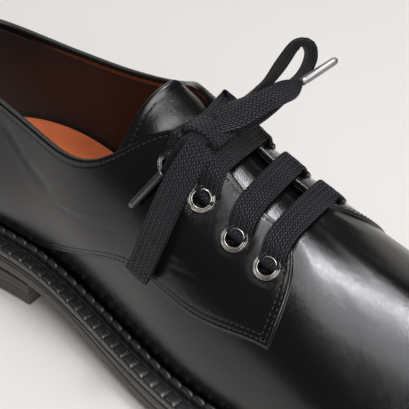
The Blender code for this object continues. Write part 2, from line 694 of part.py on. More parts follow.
# The bow's routes: places along each lace, in metres, the direction across it, and its width there as
# a share of the lace's. Each route runs out from the knot.
Lay = namedtuple("Lay", "x y z across_x across_y across_z share")
NEAR_LOOP = [
    Lay(-0.0044, -0.0163, 0.1008, 0.88, 0.10, -0.45, 0.9),
    Lay(-0.0047, -0.0234, 0.0953, 0.88, 0.10, -0.45, 1.0),
    Lay(-0.0063, -0.0287, 0.0876, 0.90, 0.12, -0.40, 1.0),
    Lay(-0.0078, -0.0333, 0.0787, 0.92, 0.10, -0.36, 1.0),
    Lay(-0.0094, -0.0374, 0.0693, 0.92, -0.02, -0.34, 1.0),
    Lay(-0.0119, -0.0405, 0.0586, 0.92, -0.02, -0.32, 1.0),
    Lay(-0.0138, -0.0398, 0.0551, 0.92, -0.02, -0.32, 1.0),
    Lay(-0.0140, -0.0375, 0.0553, 0.92, -0.02, -0.32, 1.0),
    Lay(-0.0111, -0.0343, 0.0665, 0.92, -0.02, -0.34, 1.0),
    Lay(-0.0095, -0.0300, 0.0759, 0.92, 0.10, -0.36, 1.0),
    Lay(-0.0080, -0.0254, 0.0848, 0.90, 0.12, -0.40, 1.0),
    Lay(-0.0063, -0.0202, 0.0925, 0.88, 0.10, -0.45, 1.0),
    Lay(-0.0054, -0.0145, 0.0978, 0.88, 0.10, -0.45, 0.9),
]
FAR_LOOP = [
    Lay(-0.0080, 0.0036, 0.0990, 0.85, 0.10, -0.50, 0.9),
    Lay(-0.0082, 0.0100, 0.1008, 0.75, -0.35, 0.10, 0.9),
    Lay(-0.0076, 0.0150, 0.1027, 0.49, -0.61, 0.62, 0.9),
    Lay(-0.0058, 0.0210, 0.1047, 0.25, -0.58, 0.76, 0.95),
    Lay(-0.0050, 0.0280, 0.1090, 0.10, -0.54, 0.83, 0.95),
    Lay(-0.0038, 0.0340, 0.1139, 0.20, -0.58, 0.78, 0.95),
    Lay(-0.0014, 0.0372, 0.1140, 0.49, -0.42, 0.76, 0.95),
    Lay(-0.0006, 0.0390, 0.1078, 0.75, -0.42, 0.48, 0.95),
    Lay(-0.0019, 0.0358, 0.1010, 0.80, -0.38, 0.40, 0.95),
    Lay(-0.0034, 0.0268, 0.0984, 0.85, -0.25, 0.10, 0.95),
    Lay(-0.0050, 0.0150, 0.0966, 0.86, -0.05, -0.30, 0.95),
    Lay(-0.0064, 0.0036, 0.0958, 0.85, 0.10, -0.50, 0.9),
]
NEAR_END = [
    Lay(-0.0107, -0.0136, 0.0996, 0.88, 0.10, -0.20, 0.28),
    Lay(-0.0115, -0.0180, 0.0982, 0.88, 0.10, -0.20, 0.25),
    Lay(-0.0124, -0.0216, 0.0946, 0.88, 0.10, -0.30, 0.25),
    Lay(-0.0138, -0.0238, 0.0902, 0.88, 0.10, -0.45, 0.25),
]
FAR_END = [
    Lay(-0.0034, 0.0018, 0.1020, 0.83, -0.36, -0.30, 0.95),
    Lay(-0.0008, 0.0094, 0.1040, 0.83, -0.36, -0.30, 0.95),
    Lay(0.0018, 0.0184, 0.1050, 0.83, -0.30, -0.38, 0.90),
    Lay(0.0030, 0.0240, 0.1046, 0.73, -0.10, -0.67, 0.7),
    Lay(0.0036, 0.0274, 0.1050, 0.73, -0.10, -0.67, 0.25),
]
AGLETS = {
    "near": ((-0.0142, -0.0243, 0.0892), (-0.0228, -0.0316, 0.0749)),
    "far": ((0.0038, 0.0280, 0.1053), (0.0088, 0.0416, 0.1098)),
}
AGLET_RADIUS = 0.0015
KNOT_CENTRE = (-0.0078, -0.0052, 0.1000)
KNOT_SIZE = (0.0130, 0.0160, 0.0072)    # down the instep, across the shoe, off the instep
KNOT_LEAN = math.radians(28)


def make_knot(made, collection):
    """Knot as a flattened ball, leaning with the instep."""
    work = bmesh.new()
    bmesh.ops.create_uvsphere(work, u_segments=14, v_segments=9, radius=0.5)
    size = Matrix.Diagonal((*KNOT_SIZE, 1.0))
    bmesh.ops.transform(work, matrix=Matrix.Rotation(KNOT_LEAN, 4, "Y") @ size, verts=work.verts)
    mesh = bpy.data.meshes.new("lace_knot")
    work.to_mesh(mesh)
    work.free()
    knot = add_object("lace_knot", mesh, made, collection)
    knot.location = KNOT_CENTRE


def make_bow(made, collection):
    """The bow's two loops and two ends, as flat laces."""
    routes = {"loop_near": NEAR_LOOP, "loop_far": FAR_LOOP, "end_near": NEAR_END, "end_far": FAR_END}
    for name, route in routes.items():
        count = 2 * len(route) + 2
        mesh = band_mesh(f"lace_{name}", smooth_route(route, count), LACE_WIDTH, LACE_THICKNESS)
        add_object(mesh.name, mesh, made, collection)


def make_aglets(made, collection):
    """Plain tubes over the laces' tips."""
    for name, (start, end) in AGLETS.items():
        line = Vector(end) - Vector(start)
        work = bmesh.new()
        bmesh.ops.create_cone(
            work, cap_ends=True, segments=10, radius1=AGLET_RADIUS, radius2=AGLET_RADIUS,
            depth=line.length)
        mesh = bpy.data.meshes.new(f"aglet_{name}")
        work.to_mesh(mesh)
        work.free()
        tube = add_object(mesh.name, mesh, made, collection)
        tube.matrix_world = Matrix.Translation((Vector(start) + Vector(end)) / 2.0) @ line.to_track_quat(
            "Z", "Y").to_matrix().to_4x4()


def main():
    for old in list(bpy.data.objects):
        bpy.data.objects.remove(old, do_unlink=True)
    shoe = bpy.data.collections.new("derby_shoe")
    cutters = bpy.data.collections.new("cutters")
    for collection in (shoe, cutters):
        bpy.context.scene.collection.children.link(collection)
    leather = material("black leather", (0.012, 0.011, 0.011), 0.28)
    lining = material("tan leather", (0.38, 0.10, 0.035), 0.55)
    edge = material("dark sole edge", (0.035, 0.030, 0.027), 0.45)
    welt = material("black welt", (0.020, 0.019, 0.019), 0.40)
    cotton = material("black waxed cotton", (0.022, 0.022, 0.024), 0.70)
    nickel = material("nickel", (0.62, 0.59, 0.55), 0.22, 1.0)
    tip = material("clear grey tip", (0.12, 0.12, 0.13), 0.25)
    upper = make_upper(leather, shoe)
    cut_eyelet_holes(upper, cutters)
    make_tongue(leather, shoe)
    make_insole(lining, shoe)
    make_outsole(edge, shoe)
    make_heel(edge, shoe)
    make_welt(welt, shoe)
    make_eyelets(nickel, shoe)
    make_bars(cotton, shoe)
    make_knot(cotton, shoe)
    make_bow(cotton, shoe)
    make_aglets(tip, shoe)


main()
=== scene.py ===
# %% [markdown]
# # A right derby shoe in polished black leather
#
# The shoe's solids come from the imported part. Here each of them gets a finely shaped skin in the same
# place, worked out from the same sizes, and a material of its own. Everything is in metres: the toe
# points along +X, the inner side of the foot is +Y and the floor is at z = 0.

# %% Load the frame
import math
from collections import namedtuple

import bmesh
import bpy
import numpy as np
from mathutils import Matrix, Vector


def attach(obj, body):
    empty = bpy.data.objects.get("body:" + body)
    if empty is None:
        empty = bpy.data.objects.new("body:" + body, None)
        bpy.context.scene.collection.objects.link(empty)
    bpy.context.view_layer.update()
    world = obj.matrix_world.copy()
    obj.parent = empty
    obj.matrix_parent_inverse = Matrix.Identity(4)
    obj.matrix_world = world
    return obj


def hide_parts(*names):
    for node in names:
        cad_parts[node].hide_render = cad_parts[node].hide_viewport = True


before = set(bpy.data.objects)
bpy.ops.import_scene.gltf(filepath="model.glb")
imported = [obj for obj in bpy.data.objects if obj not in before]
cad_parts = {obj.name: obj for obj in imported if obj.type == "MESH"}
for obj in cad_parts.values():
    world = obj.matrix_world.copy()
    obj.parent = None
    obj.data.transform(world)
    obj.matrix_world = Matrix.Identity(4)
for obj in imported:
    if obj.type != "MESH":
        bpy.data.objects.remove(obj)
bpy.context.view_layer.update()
print("solids:", len(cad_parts))

# %% [markdown]
# ## Camera
#
# The photograph looks down on the outer side of the shoe from behind its toe, close enough for the heel
# and the toe to leave the frame. A camera is an object that looks along its own -Z axis, so it is enough
# to place it and turn that axis towards a point on the shoe.

# %% Camera
CAMERA_PLACE = Vector((0.2235, -0.2976, 0.3643))
CAMERA_TARGET = Vector((-0.0133, -0.0034, 0.0631))
LENS_MM = 121.0

lens = bpy.data.cameras.new("camera")
lens.sensor_width = 36.0
lens.lens = LENS_MM
camera = bpy.data.objects.new("camera", lens)
bpy.context.scene.collection.objects.link(camera)
camera.location = CAMERA_PLACE
camera.rotation_euler = (CAMERA_TARGET - CAMERA_PLACE).to_track_quat("-Z", "Y").to_euler()
bpy.context.scene.camera = camera
print("camera is", round((CAMERA_TARGET - CAMERA_PLACE).length, 3), "m from the shoe")

# %% [markdown]
# ## Sizes and tables
#
# These are the part's own sizes. The tables hold shares of them: a station gives the sole's half widths
# at one place along the shoe, and a profile gives the upper's section that starts there.

# %% Named sizes
LENGTH = 0.302
BALL_WIDTH = 0.1035
HEEL_HEIGHT = 0.0125
TOE_SPRING = 0.010
INSTEP_HEIGHT = 0.065
SOLE_AT_HEEL = 0.0072
SOLE_AT_BALL = 0.0105
WELT_THICKNESS = 0.0030
WELT_FLAT = 0.0052
WELT_GROOVE = 0.0008
RIDGE_WIDTH = 0.0028
RIDGE_RISE = 0.0036
WELT_WIDTH = WELT_FLAT + WELT_GROOVE + RIDGE_WIDTH
UPPER_WALL = 0.0017
QUARTER_STEP = 0.0011
TONGUE_THICKNESS = 0.0026
INSOLE_AT_HEEL = 0.0140
INSOLE_AT_BALL = 0.0055
INSOLE_CUP = 0.0045
INSOLE_SPREAD = 0.0018
LACE_WIDTH = 0.0096
LACE_THICKNESS = 0.0015
EYELET_RADIUS = 0.0047
EYELET_HOLE = 0.0031
EYELET_RISE = 0.0011
GAP = 0.0003
FOOT_HEIGHT = WELT_THICKNESS + RIDGE_RISE + GAP
HEEL_LENGTH = 0.076
HEEL_INSET = 0.0008
TOP_LIFT = 0.0060

# %% Tables of the sole and the upper
Station = namedtuple("Station", "along outer inner")
OUTLINE = [
    Station(0.000, 0.019, -0.019),
    Station(0.030, 0.213, 0.184),
    Station(0.093, 0.324, 0.300),
    Station(0.248, 0.349, 0.324),
    Station(0.348, 0.386, 0.319),
    Station(0.447, 0.451, 0.348),
    Station(0.530, 0.493, 0.401),
    Station(0.626, 0.512, 0.459),
    Station(0.712, 0.512, 0.488),
    Station(0.801, 0.469, 0.473),
    Station(0.881, 0.372, 0.411),
    Station(0.954, 0.208, 0.271),
    Station(1.000, -0.039, 0.039),
]
Profile = namedtuple(
    "Profile",
    "top_along top_outer top_height inner_along top_inner inner_height rise bulge reach heading dip seam",
)
PROFILES = [
    Profile(0.030, 0.000, 1.030, 0.030, 0.000, 1.030, 0.40, 0.066, 0.080, 180, 82, 0.02),
    Profile(0.044, 0.120, 1.020, 0.044, 0.118, 0.995, 0.40, 0.070, 0.080, 135, 82, 0.02),
    Profile(0.103, 0.193, 1.015, 0.103, 0.184, 0.945, 0.38, 0.076, 0.075, 100, 82, 0.02),
    Profile(0.258, 0.246, 0.925, 0.258, 0.227, 0.955, 0.35, 0.058, 0.070, 90, 78, 0.02),
    Profile(0.362, 0.263, 1.045, 0.352, 0.217, 1.110, 0.40, 0.032, 0.075, 90, 66, 0.30),
    Profile(0.445, 0.110, 1.295, 0.418, 0.115, 1.265, 0.52, 0.015, 0.110, 90, 44, 0.36),
    Profile(0.520, 0.094, 1.105, 0.510, 0.088, 1.125, 0.50, 0.015, 0.085, 84, 34, 0.36),
    Profile(0.577, 0.094, 1.000, 0.577, 0.092, 1.000, 0.62, 0.015, 0.077, 17, 21, 0.34),
    Profile(0.584, 0.075, 1.003, 0.584, 0.075, 1.003, 0.45, 0.024, 0.144, 11, 20, 0.32),
    Profile(0.586, 0.048, 1.004, 0.586, 0.048, 1.004, 0.37, 0.019, 0.161, 10, 19, 0.30),
    Profile(0.586, 0.028, 1.002, 0.586, 0.028, 1.002, 0.37, 0.020, 0.165, 5, 18, 0.30),
    Profile(0.586, 0.013, 1.000, 0.586, 0.013, 1.000, 0.37, 0.020, 0.165, 3, 18, 0.30),
    Profile(0.586, 0.000, 1.000, 0.586, 0.000, 1.000, 0.37, 0.020, 0.165, 0, 18, 0.30),
]
CORNER_STATION = 7
Eyelet = namedtuple("Eyelet", "along outer inner_along inner edge clear")
EYELETS = [
    Eyelet(0.590, 0.214, 0.581, 0.186, 0.098, 0.0008),
    Eyelet(0.543, 0.205, 0.532, 0.180, 0.096, 0.0008),
    Eyelet(0.492, 0.190, 0.482, 0.176, 0.098, 0.0008),
    Eyelet(0.448, 0.184, 0.434, 0.172, 0.115, 0.0019),
]
print("stations:", len(OUTLINE), "profiles:", len(PROFILES))

# %% [markdown]
# ## The outline and the upper as functions
#
# A cordwainer shapes a shoe over a last, and the sole's outline is the last's own. A closed cubic spline
# through the stations gives that outline, and every other surface is worked out from it. The upper is a
# Bezier curve from the welt to the topline, carried round the shoe.


# %% Curves
def smooth_step(value, start, end):
    """0 before start, 1 after end, and 3s^2 - 2s^3 between them."""
    s = np.clip((value - start) / (end - start), 0.0, 1.0)
    return s * s * (3.0 - 2.0 * s)


def bell(distance, width):
    """exp(-(distance / width)^2)."""
    return np.exp(-(distance / width) ** 2)


def catmull_rom(a, b, c, d, t):
    """Cubic from b to c as t goes from 0 to 1, with slopes (c - a) / 2 and (d - b) / 2 at its ends."""
    return b + 0.5 * t * (c - a + t * (2 * a - 5 * b + 4 * c - d + t * (3 * (b - c) + d - a)))


def length_walked(points):
    """Length walked along a line at each of its points."""
    return np.append(0.0, np.cumsum(np.linalg.norm(np.diff(points, axis=0), axis=1)))


def closed_spline(knots, values, where):
    """Cubic spline of period 1 through values at knots: its second derivatives solve the usual
    system that makes the first derivative continuous at every knot."""
    count = len(knots)
    steps = np.diff(np.append(knots, knots[0] + 1.0))
    rises = (np.roll(values, -1, axis=0) - values) / steps[:, None]
    system = np.zeros((count, count))
    for row in range(count):
        before = steps[row - 1]
        system[row, row - 1] += before
        system[row, row] += 2.0 * (before + steps[row])
        system[row, (row + 1) % count] += steps[row]
    bends = np.linalg.solve(system, 6.0 * (rises - np.roll(rises, 1, axis=0)))
    where = np.mod(where, 1.0)
    left = np.searchsorted(knots, where, side="right") - 1
    right = (left + 1) % count
    h = steps[left][:, None]
    b = (where - knots[left])[:, None] / h
    a = 1.0 - b
    cubic = ((a ** 3 - a) * bends[left] + (b ** 3 - b) * bends[right]) * h * h / 6.0
    return a * values[left] + b * values[right] + cubic


def ring_knots():
    """Share of the way round, from the back of the heel along the outer side, of every station."""
    along = np.array([s.along for s in OUTLINE]) * LENGTH
    half = np.array([(s.outer + s.inner) / 2.0 for s in OUTLINE]) * BALL_WIDTH
    walked = np.cumsum(np.append(0.0, np.hypot(np.diff(along), np.diff(half))))
    outer = 0.5 * walked / walked[-1]
    return np.append(outer, (1.0 - outer[1:-1])[::-1])


KNOTS = ring_knots()
FRONT = KNOTS[CORNER_STATION]


def round_the_shoe(where, columns):
    """Columns of a table, each given as its outer and its inner values, read at shares round the shoe."""
    rings = [np.append(np.asarray(o, float), np.asarray(i, float)[-2:0:-1]) for o, i in columns]
    return closed_spline(KNOTS, np.stack(rings, axis=1), np.asarray(where, float)).T


print("quarters' front edge at", round(float(FRONT), 4), "of the way round")


# %% Outline, underside and seat
def outline(where, inset):
    """Points of the sole's outline, moved inwards by inset along its own normal, and that normal."""
    along = [s.along * LENGTH for s in OUTLINE]
    sides = ([-s.outer * BALL_WIDTH for s in OUTLINE], [s.inner * BALL_WIDTH for s in OUTLINE])
    nudge = 1e-4
    read = lambda shift: np.stack(round_the_shoe(np.asarray(where) + shift, [(along, along), sides]), 1)
    tangent = read(nudge) - read(-nudge)
    tangent /= np.linalg.norm(tangent, axis=1)[:, None]
    outward = np.stack([tangent[:, 1], -tangent[:, 0]], axis=1)
    return read(0.0) - np.reshape(inset, (-1, 1)) * outward, outward


rim_points, _ = outline(np.linspace(0.0, 1.0, 721), 0.0)
CENTRE = np.append((rim_points.min(axis=0) + rim_points.max(axis=0)) / 2.0, 0.0)


def underside(x):
    """Height of the sole's underside: flat on the heel, down the waist, flat at the ball, up at the
    toe."""
    waist = 1.0 - smooth_step(x, 0.18 * LENGTH, 0.55 * LENGTH)
    spring = np.clip((x / LENGTH - 0.745) / 0.255, 0.0, None) ** 1.8
    return HEEL_HEIGHT * waist + TOE_SPRING * spring


def seat(x):
    """Height of the outsole's top."""
    grown = smooth_step(x, 0.30 * LENGTH, 0.50 * LENGTH)
    return underside(x) + SOLE_AT_HEEL + (SOLE_AT_BALL - SOLE_AT_HEEL) * grown


print("centre of the outline:", CENTRE.round(4))


# %% The upper's skin
def upper_profiles(where):
    """The four control points of the profile at each share round the shoe: above the welt, straight
    over it, out from the free edge, and on the free edge."""
    feather, outward = outline(where, WELT_WIDTH + GAP)
    column = {name: [getattr(p, name) for p in PROFILES] for name in Profile._fields}
    turned = np.radians(column["heading"])
    top_along, side, height, rise, bulge, reach, dip, ahead, aside = round_the_shoe(where, [
        (column["top_along"], column["inner_along"]),
        (-np.array(column["top_outer"]), column["top_inner"]),
        (column["top_height"], column["inner_height"]),
        (column["rise"], column["rise"]),
        (column["bulge"], column["bulge"]),
        (column["reach"], column["reach"]),
        (column["dip"], column["dip"]),
        (np.cos(turned), np.cos(turned)),
        (-np.sin(turned), np.sin(turned)),
    ])
    heading = np.stack([ahead, aside]) / np.hypot(ahead, aside)
    top_x = top_along * LENGTH
    top = np.stack([top_x, side * BALL_WIDTH, seat(top_x) + height * INSTEP_HEIGHT], axis=1)
    start = np.column_stack([feather, seat(feather[:, 0]) + GAP + FOOT_HEIGHT])
    leave = start + np.column_stack([bulge[:, None] * BALL_WIDTH * outward, rise * INSTEP_HEIGHT])
    fall = np.radians(dip)
    away = np.column_stack([np.cos(fall) * heading[0], np.cos(fall) * heading[1], -np.sin(fall)])
    arrive = top + away * (reach * LENGTH)[:, None]
    return start, leave, arrive, top


def upper_surface(where, share):
    """Points of the vamp's outer skin: a cubic Bezier curve from the welt to the free edge."""
    start, leave, arrive, top = upper_profiles(where)
    t = np.asarray(share)[:, None]
    s = 1.0 - t
    return s ** 3 * start + 3 * s * s * t * leave + 3 * s * t * t * arrive + t ** 3 * top


def surface_normal(where, share):
    """Outward normal of the skin, from the directions round the shoe and up the profile."""
    nudge = 1e-3
    low = np.clip(share - nudge, 0.0, 1.0)
    high = np.clip(share + nudge, 0.0, 1.0)
    round_it = upper_surface(where + nudge, share) - upper_surface(where - nudge, share)
    up_it = upper_surface(where, high) - upper_surface(where, low)
    normal = np.cross(round_it, up_it)
    return normal / np.linalg.norm(normal, axis=1)[:, None]


def seam_share(where):
    """Share of each profile at which the quarter's lower edge crosses it."""
    shares = [p.seam for p in PROFILES]
    return np.clip(round_the_shoe(where, [(shares, shares)])[0], 0.02, 1.0)


print("top of the heel's collar:", (upper_surface(np.zeros(1), np.ones(1)) - CENTRE).round(4))


# %% Finding a place on the skin
def skin_at(x, y):
    """Point and normal of the skin above (x, y), found by Newton's method from the nearest sample.
    Beyond the free edge it gives the nearest place on that edge."""
    where, share = [a.ravel() for a in np.meshgrid(np.linspace(0.0, 1.0, 181), np.linspace(0.2, 1.0, 25))]
    samples = upper_surface(where, share)
    nearest = np.argmin(np.hypot(samples[:, 0] - x, samples[:, 1] - y))
    guess = np.array([where[nearest], share[nearest]])
    nudge = 1e-4
    for _ in range(8):
        around = guess + nudge * np.array([[0, 0], [1, 0], [0, 1]])
        p, pu, pt = upper_surface(around[:, 0], around[:, 1])[:, :2]
        slope = np.column_stack([(pu - p) / nudge, (pt - p) / nudge])
        step = np.linalg.solve(slope, np.array([x, y]) - p)
        guess = guess + np.clip(step, -0.05, 0.05)
        guess[1] = min(guess[1], 1.0)
    return upper_surface(guess[:1], guess[1:])[0], surface_normal(guess[:1], guess[1:])[0]


def facing_at(x, y):
    """Point and normal on the quarter's skin, which stands out from the vamp's."""
    point, normal = skin_at(x, y)
    return point + normal * QUARTER_STEP, normal


EYELET_PLACES = []
for row in EYELETS:
    EYELET_PLACES.append(facing_at(row.along * LENGTH, -row.outer * BALL_WIDTH))
    EYELET_PLACES.append(facing_at(row.inner_along * LENGTH, row.inner * BALL_WIDTH))
print("eyelets:", len(EYELET_PLACES))

# %% [markdown]
# ## Meshes from grids
#
# Every surface here is an array of points in rows and columns. Four neighbours make a face, and the last
# column may be joined to the first. One helper turns such arrays into an object, welds its seams, turns
# its faces outwards and hands it to the shoe.


# %% Grid helpers
def grid_faces(rows, columns, closed=False):
    """Corner numbers of every quad of a grid; closed joins the last column to the first."""
    i, j = np.meshgrid(np.arange(rows - 1), np.arange(columns if closed else columns - 1), indexing="ij")
    k = (j + 1) % columns
    corners = [i * columns + j, i * columns + k, (i + 1) * columns + k, (i + 1) * columns + j]
    return np.stack(corners, axis=-1).reshape(-1, 4)


def joined(parts):
    """One (points, faces) pair from several."""
    points, faces, first = [], [], 0
    for part_points, part_faces in parts:
        points.append(part_points.reshape(-1, 3))
        faces.append(part_faces + first)
        first += len(points[-1])
    return np.concatenate(points), np.concatenate(faces)


def add_piece(name, points, faces, finish, nodes=(), solid=True, uv=None):
    """A finished object at the origin, in place of the CAD nodes named. Its points are measured from the
    back of the heel. solid welds it and turns its faces outwards."""
    mesh = bpy.data.meshes.new(name)
    mesh.from_pydata((points.reshape(-1, 3) - CENTRE).tolist(), [], faces.tolist())
    mesh.materials.append(finish)
    if uv is not None:
        layer = mesh.uv_layers.new(name="lie")
        layer.data.foreach_set("uv", uv.reshape(-1, 2)[faces.ravel()].astype(np.float32).ravel())
    if solid:
        work = bmesh.new()
        work.from_mesh(mesh)
        bmesh.ops.remove_doubles(work, verts=work.verts, dist=2e-6)
        bmesh.ops.recalc_face_normals(work, faces=work.faces)
        work.to_mesh(mesh)
        work.free()
    mesh.shade_smooth()
    mesh.validate()
    piece = bpy.data.objects.new(name, mesh)
    bpy.context.scene.collection.objects.link(piece)
    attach(piece, "root")
    if nodes:
        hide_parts(*nodes)
    triangles = sum(len(p.vertices) - 2 for p in mesh.polygons)
    print(f"{name}: {triangles} triangles")
    return piece


def turned(profile, place, axis, beside, around):
    """Surface of revolution of (radius, height) pairs about an axis that stands on a place. The first
    spoke stands across both the axis and beside."""
    side = np.cross(axis, beside)
    side /= np.linalg.norm(side)
    other = np.cross(axis, side)
    turn = np.linspace(0.0, 2.0 * np.pi, around, endpoint=False)
    spoke = np.cos(turn)[:, None] * side + np.sin(turn)[:, None] * other
    profile = np.array(profile)
    points = place + spoke[None] * profile[:, :1, None] + axis * profile[:, 1:, None]
    return points, grid_faces(len(profile), around, True)


def facing_out(points, faces, outward):
    """The faces, turned over if their mean normal points against the mean outward direction."""
    a, b, c, d = [points[faces[:, k]] for k in range(4)]
    normal = np.cross(c - a, d - b)
    if np.sum(normal * outward[faces[:, 0]]) < 0.0:
        return faces[:, ::-1]
    return faces


# %% [markdown]
# ## Materials as expressions
#
# A material is a graph of nodes. The class below wraps one output socket, so that sums, products and
# powers of patterns are written as ordinary expressions and add their own Math nodes.


# %% Sockets as values
class Pattern:
    """One output socket of a material's graph."""

    def __init__(self, finish, socket):
        self.finish = finish
        self.socket = socket

    def _math(self, operation, first, second=0.0):
        return self.finish.add("ShaderNodeMath", {"operation": operation}, {0: first, 1: second})

    def __add__(self, other):
        return self._math("ADD", self, other)

    def __sub__(self, other):
        return self._math("SUBTRACT", self, other)

    def __rsub__(self, other):
        return self._math("SUBTRACT", other, self)

    def __mul__(self, other):
        return self._math("MULTIPLY", self, other)

    def __pow__(self, other):
        return self._math("POWER", self, other)

    def __abs__(self):
        return self._math("ABSOLUTE", self)

    __radd__ = __add__
    __rmul__ = __mul__

    def between(self, low, high):
        """0 below low, 1 above high and smooth between them."""
        values = {"Value": self, "From Min": low, "From Max": high}
        return self.finish.add("ShaderNodeMapRange", {"interpolation_type": "SMOOTHSTEP"}, values)

    def fract(self):
        """What is left of the value over its whole number."""
        return self._math("FRACT", self)

    def wave(self, pitch):
        """Sine of the value, with one period every pitch."""
        return self._math("SINE", self * (2.0 * math.pi / pitch))


class Finish:
    """A material in the making. done() closes it and gives the material back."""

    def __init__(self, name):
        self.material = bpy.data.materials.new(name)
        self.material.use_nodes = True
        self.nodes = self.material.node_tree.nodes
        self.links = self.material.node_tree.links
        self.shader = self.nodes["Principled BSDF"]

    def put(self, socket, value):
        """Links a pattern to a socket, or sets its own value."""
        if isinstance(value, Pattern):
            self.links.new(value.socket, socket)
        elif isinstance(value, tuple) and len(value) == 3 and socket.type == "RGBA":
            socket.default_value = (*value, 1.0)
        else:
            socket.default_value = value

    def add(self, kind, settings=None, values=None, output=0):
        """A node of any kind: its settings first, then its sockets."""
        node = self.nodes.new(kind)
        for name, value in (settings or {}).items():
            setattr(node, name, value)
        for name, value in (values or {}).items():
            self.put(node.inputs[name], value)
        return Pattern(self, node.outputs[output])

    def place(self):
        """Place on the piece, in metres."""
        return self.add("ShaderNodeTexCoord", output=3)

    def lie(self):
        """The piece's own UV map, as its two coordinates."""
        split = self.add("ShaderNodeSeparateXYZ", None, {0: self.add("ShaderNodeUVMap", {"uv_map": "lie"})})
        return split, Pattern(self, split.socket.node.outputs[1])

    def noise(self, scale, detail=2.0, roughness=0.5, vector=None):
        values = {"Vector": vector or self.place(), "Scale": scale, "Detail": detail, "Roughness": roughness}
        return self.add("ShaderNodeTexNoise", None, values)

    def cells(self, scale):
        """Pebbled cells: 0 on the borders between them, 1 well inside."""
        values = {"Vector": self.place(), "Scale": scale}
        return self.add("ShaderNodeTexVoronoi", {"feature": "DISTANCE_TO_EDGE"}, values).between(0.0, 0.3)

    def bump(self, height, distance, strength=1.0, under=None):
        values = {"Height": height, "Distance": distance, "Strength": strength}
        if under is not None:
            values["Normal"] = under
        return self.add("ShaderNodeBump", None, values)

    def blend(self, share, first, second):
        """Colour between two colours."""
        values = {0: share, 6: first, 7: second}
        return self.add("ShaderNodeMix", {"data_type": "RGBA"}, values, output=2)

    def done(self, **sockets):
        """Sets the Principled BSDF's sockets by name, with _ for a space."""
        for name, value in sockets.items():
            self.put(self.shader.inputs[name.replace("_", " ")], value)
        return self.material


print("sockets are values")

# %% [markdown]
# ## Finishes
#
# The upper is smooth calf with a fine grain under a hard wax shine: black, with a soft, broad gloss. The
# shine isn't even, because wax lies thinner where the leather flexes, so a large, faint pattern varies
# its roughness. The grain is a bump of small cells, far too fine to model.


# %% Black leather
def black_leather(name, shine, wrinkle=0.45):
    """Calf leather: cells of about 0.7 mm and finer pores over slow ripples of a few millimetres, and a
    patchy roughness round shine."""
    finish = Finish(name)
    ripple = finish.noise(300.0, 2.0, 0.5)
    grain = finish.cells(1500.0)
    pores = finish.noise(1900.0, 3.0, 0.6)
    handling = finish.noise(38.0, 3.0, 0.6)
    soft = finish.bump(ripple, 0.00016, wrinkle)
    bumps = finish.bump(grain * 0.4 + pores, 0.00007, 0.6, soft)
    return finish.done(
        Base_Color=finish.blend(handling, (0.0024, 0.0023, 0.0024), (0.0045, 0.0042, 0.0040)),
        Roughness=handling * 0.08 + (shine - 0.04),
        Specular_IOR_Level=0.5,
        Coat_Weight=0.10,
        Coat_Roughness=0.10,
        Normal=bumps,
    )


calf = black_leather("polished calf", 0.19)
tongue_calf = black_leather("tongue calf", 0.20, 0.2)
print(calf.name, tongue_calf.name)


# %% Lining, insole and thread
def lining_leather():
    """Lining: black at the heel, dark brown from the waist forward, with a dull surface."""
    finish = Finish("lining leather")
    split = finish.add("ShaderNodeSeparateXYZ", None, {0: finish.place()})
    ahead = split.between(-0.086, -0.082)
    tone = finish.noise(60.0, 4.0)
    brown = finish.blend(tone, (0.0050, 0.0034, 0.0032), (0.0090, 0.0062, 0.0052))
    bumps = finish.bump(finish.cells(1300.0), 0.00005, 0.5)
    return finish.done(
        Base_Color=finish.blend(ahead, (0.010, 0.0095, 0.0095), brown), Roughness=0.62, Normal=bumps)


def tan_leather():
    """Sock leather: warm tan, darker in soft patches."""
    finish = Finish("tan sock leather")
    tone = finish.noise(45.0, 4.0, 0.6)
    bumps = finish.bump(finish.noise(1400.0, 3.0), 0.00006, 0.5)
    return finish.done(
        Base_Color=finish.blend(tone.between(0.3, 0.7), (0.58, 0.130, 0.040), (0.72, 0.180, 0.055)),
        Roughness=0.52, Normal=bumps)


def plain_finish(name, colour, roughness, grain, **sockets):
    """One colour, roughened by a fine noise."""
    finish = Finish(name)
    tone = finish.noise(grain, 3.0)
    darker = tuple(c * 0.65 for c in colour)
    return finish.done(
        Base_Color=finish.blend(tone, darker, colour), Roughness=tone * 0.15 + (roughness - 0.07),
        Normal=finish.bump(tone, 0.00004, 0.4), **sockets)


lining = lining_leather()
sock = tan_leather()
thread = plain_finish("black thread", (0.007, 0.007, 0.008), 0.5, 3000.0, Coat_Weight=0.1)
print(lining.name, sock.name, thread.name)


# %% Welt and sole edge
def sole_edge():
    """Trimmed and burnished sole edge: warm dark brown, with faint streaks along the sole from a noise
    that is drawn out in x and y."""
    finish = Finish("burnished sole edge")
    drawn_out = {"Vector": finish.place(), "Scale": (60.0, 60.0, 1400.0)}
    stretched = finish.add("ShaderNodeMapping", {"vector_type": "POINT"}, drawn_out)
    streak = finish.noise(1.0, 3.0, 0.6, stretched)
    tone = finish.blend(streak, (0.020, 0.0165, 0.0145), (0.044, 0.037, 0.031))
    return finish.done(
        Base_Color=tone, Roughness=streak * 0.16 + 0.34, Coat_Weight=0.15, Coat_Roughness=0.3,
        Normal=finish.bump(streak, 0.00005, 0.5))


def welt_leather():
    """Welt: black, waxed, with fine lines across the raised beads."""
    finish = Finish("waxed welt")
    along, _ = finish.lie()
    lines = along.wave(0.00062)
    tone = finish.noise(900.0, 3.0)
    bumps = finish.bump(lines * 0.5 + tone, 0.00007, 0.5)
    return finish.done(
        Base_Color=finish.blend(tone, (0.0085, 0.008, 0.0085), (0.020, 0.019, 0.020)),
        Roughness=tone * 0.2 + 0.27, Coat_Weight=0.4, Coat_Roughness=0.22, Normal=bumps)


edge_finish = sole_edge()
welt_finish = welt_leather()
print(edge_finish.name, welt_finish.name)


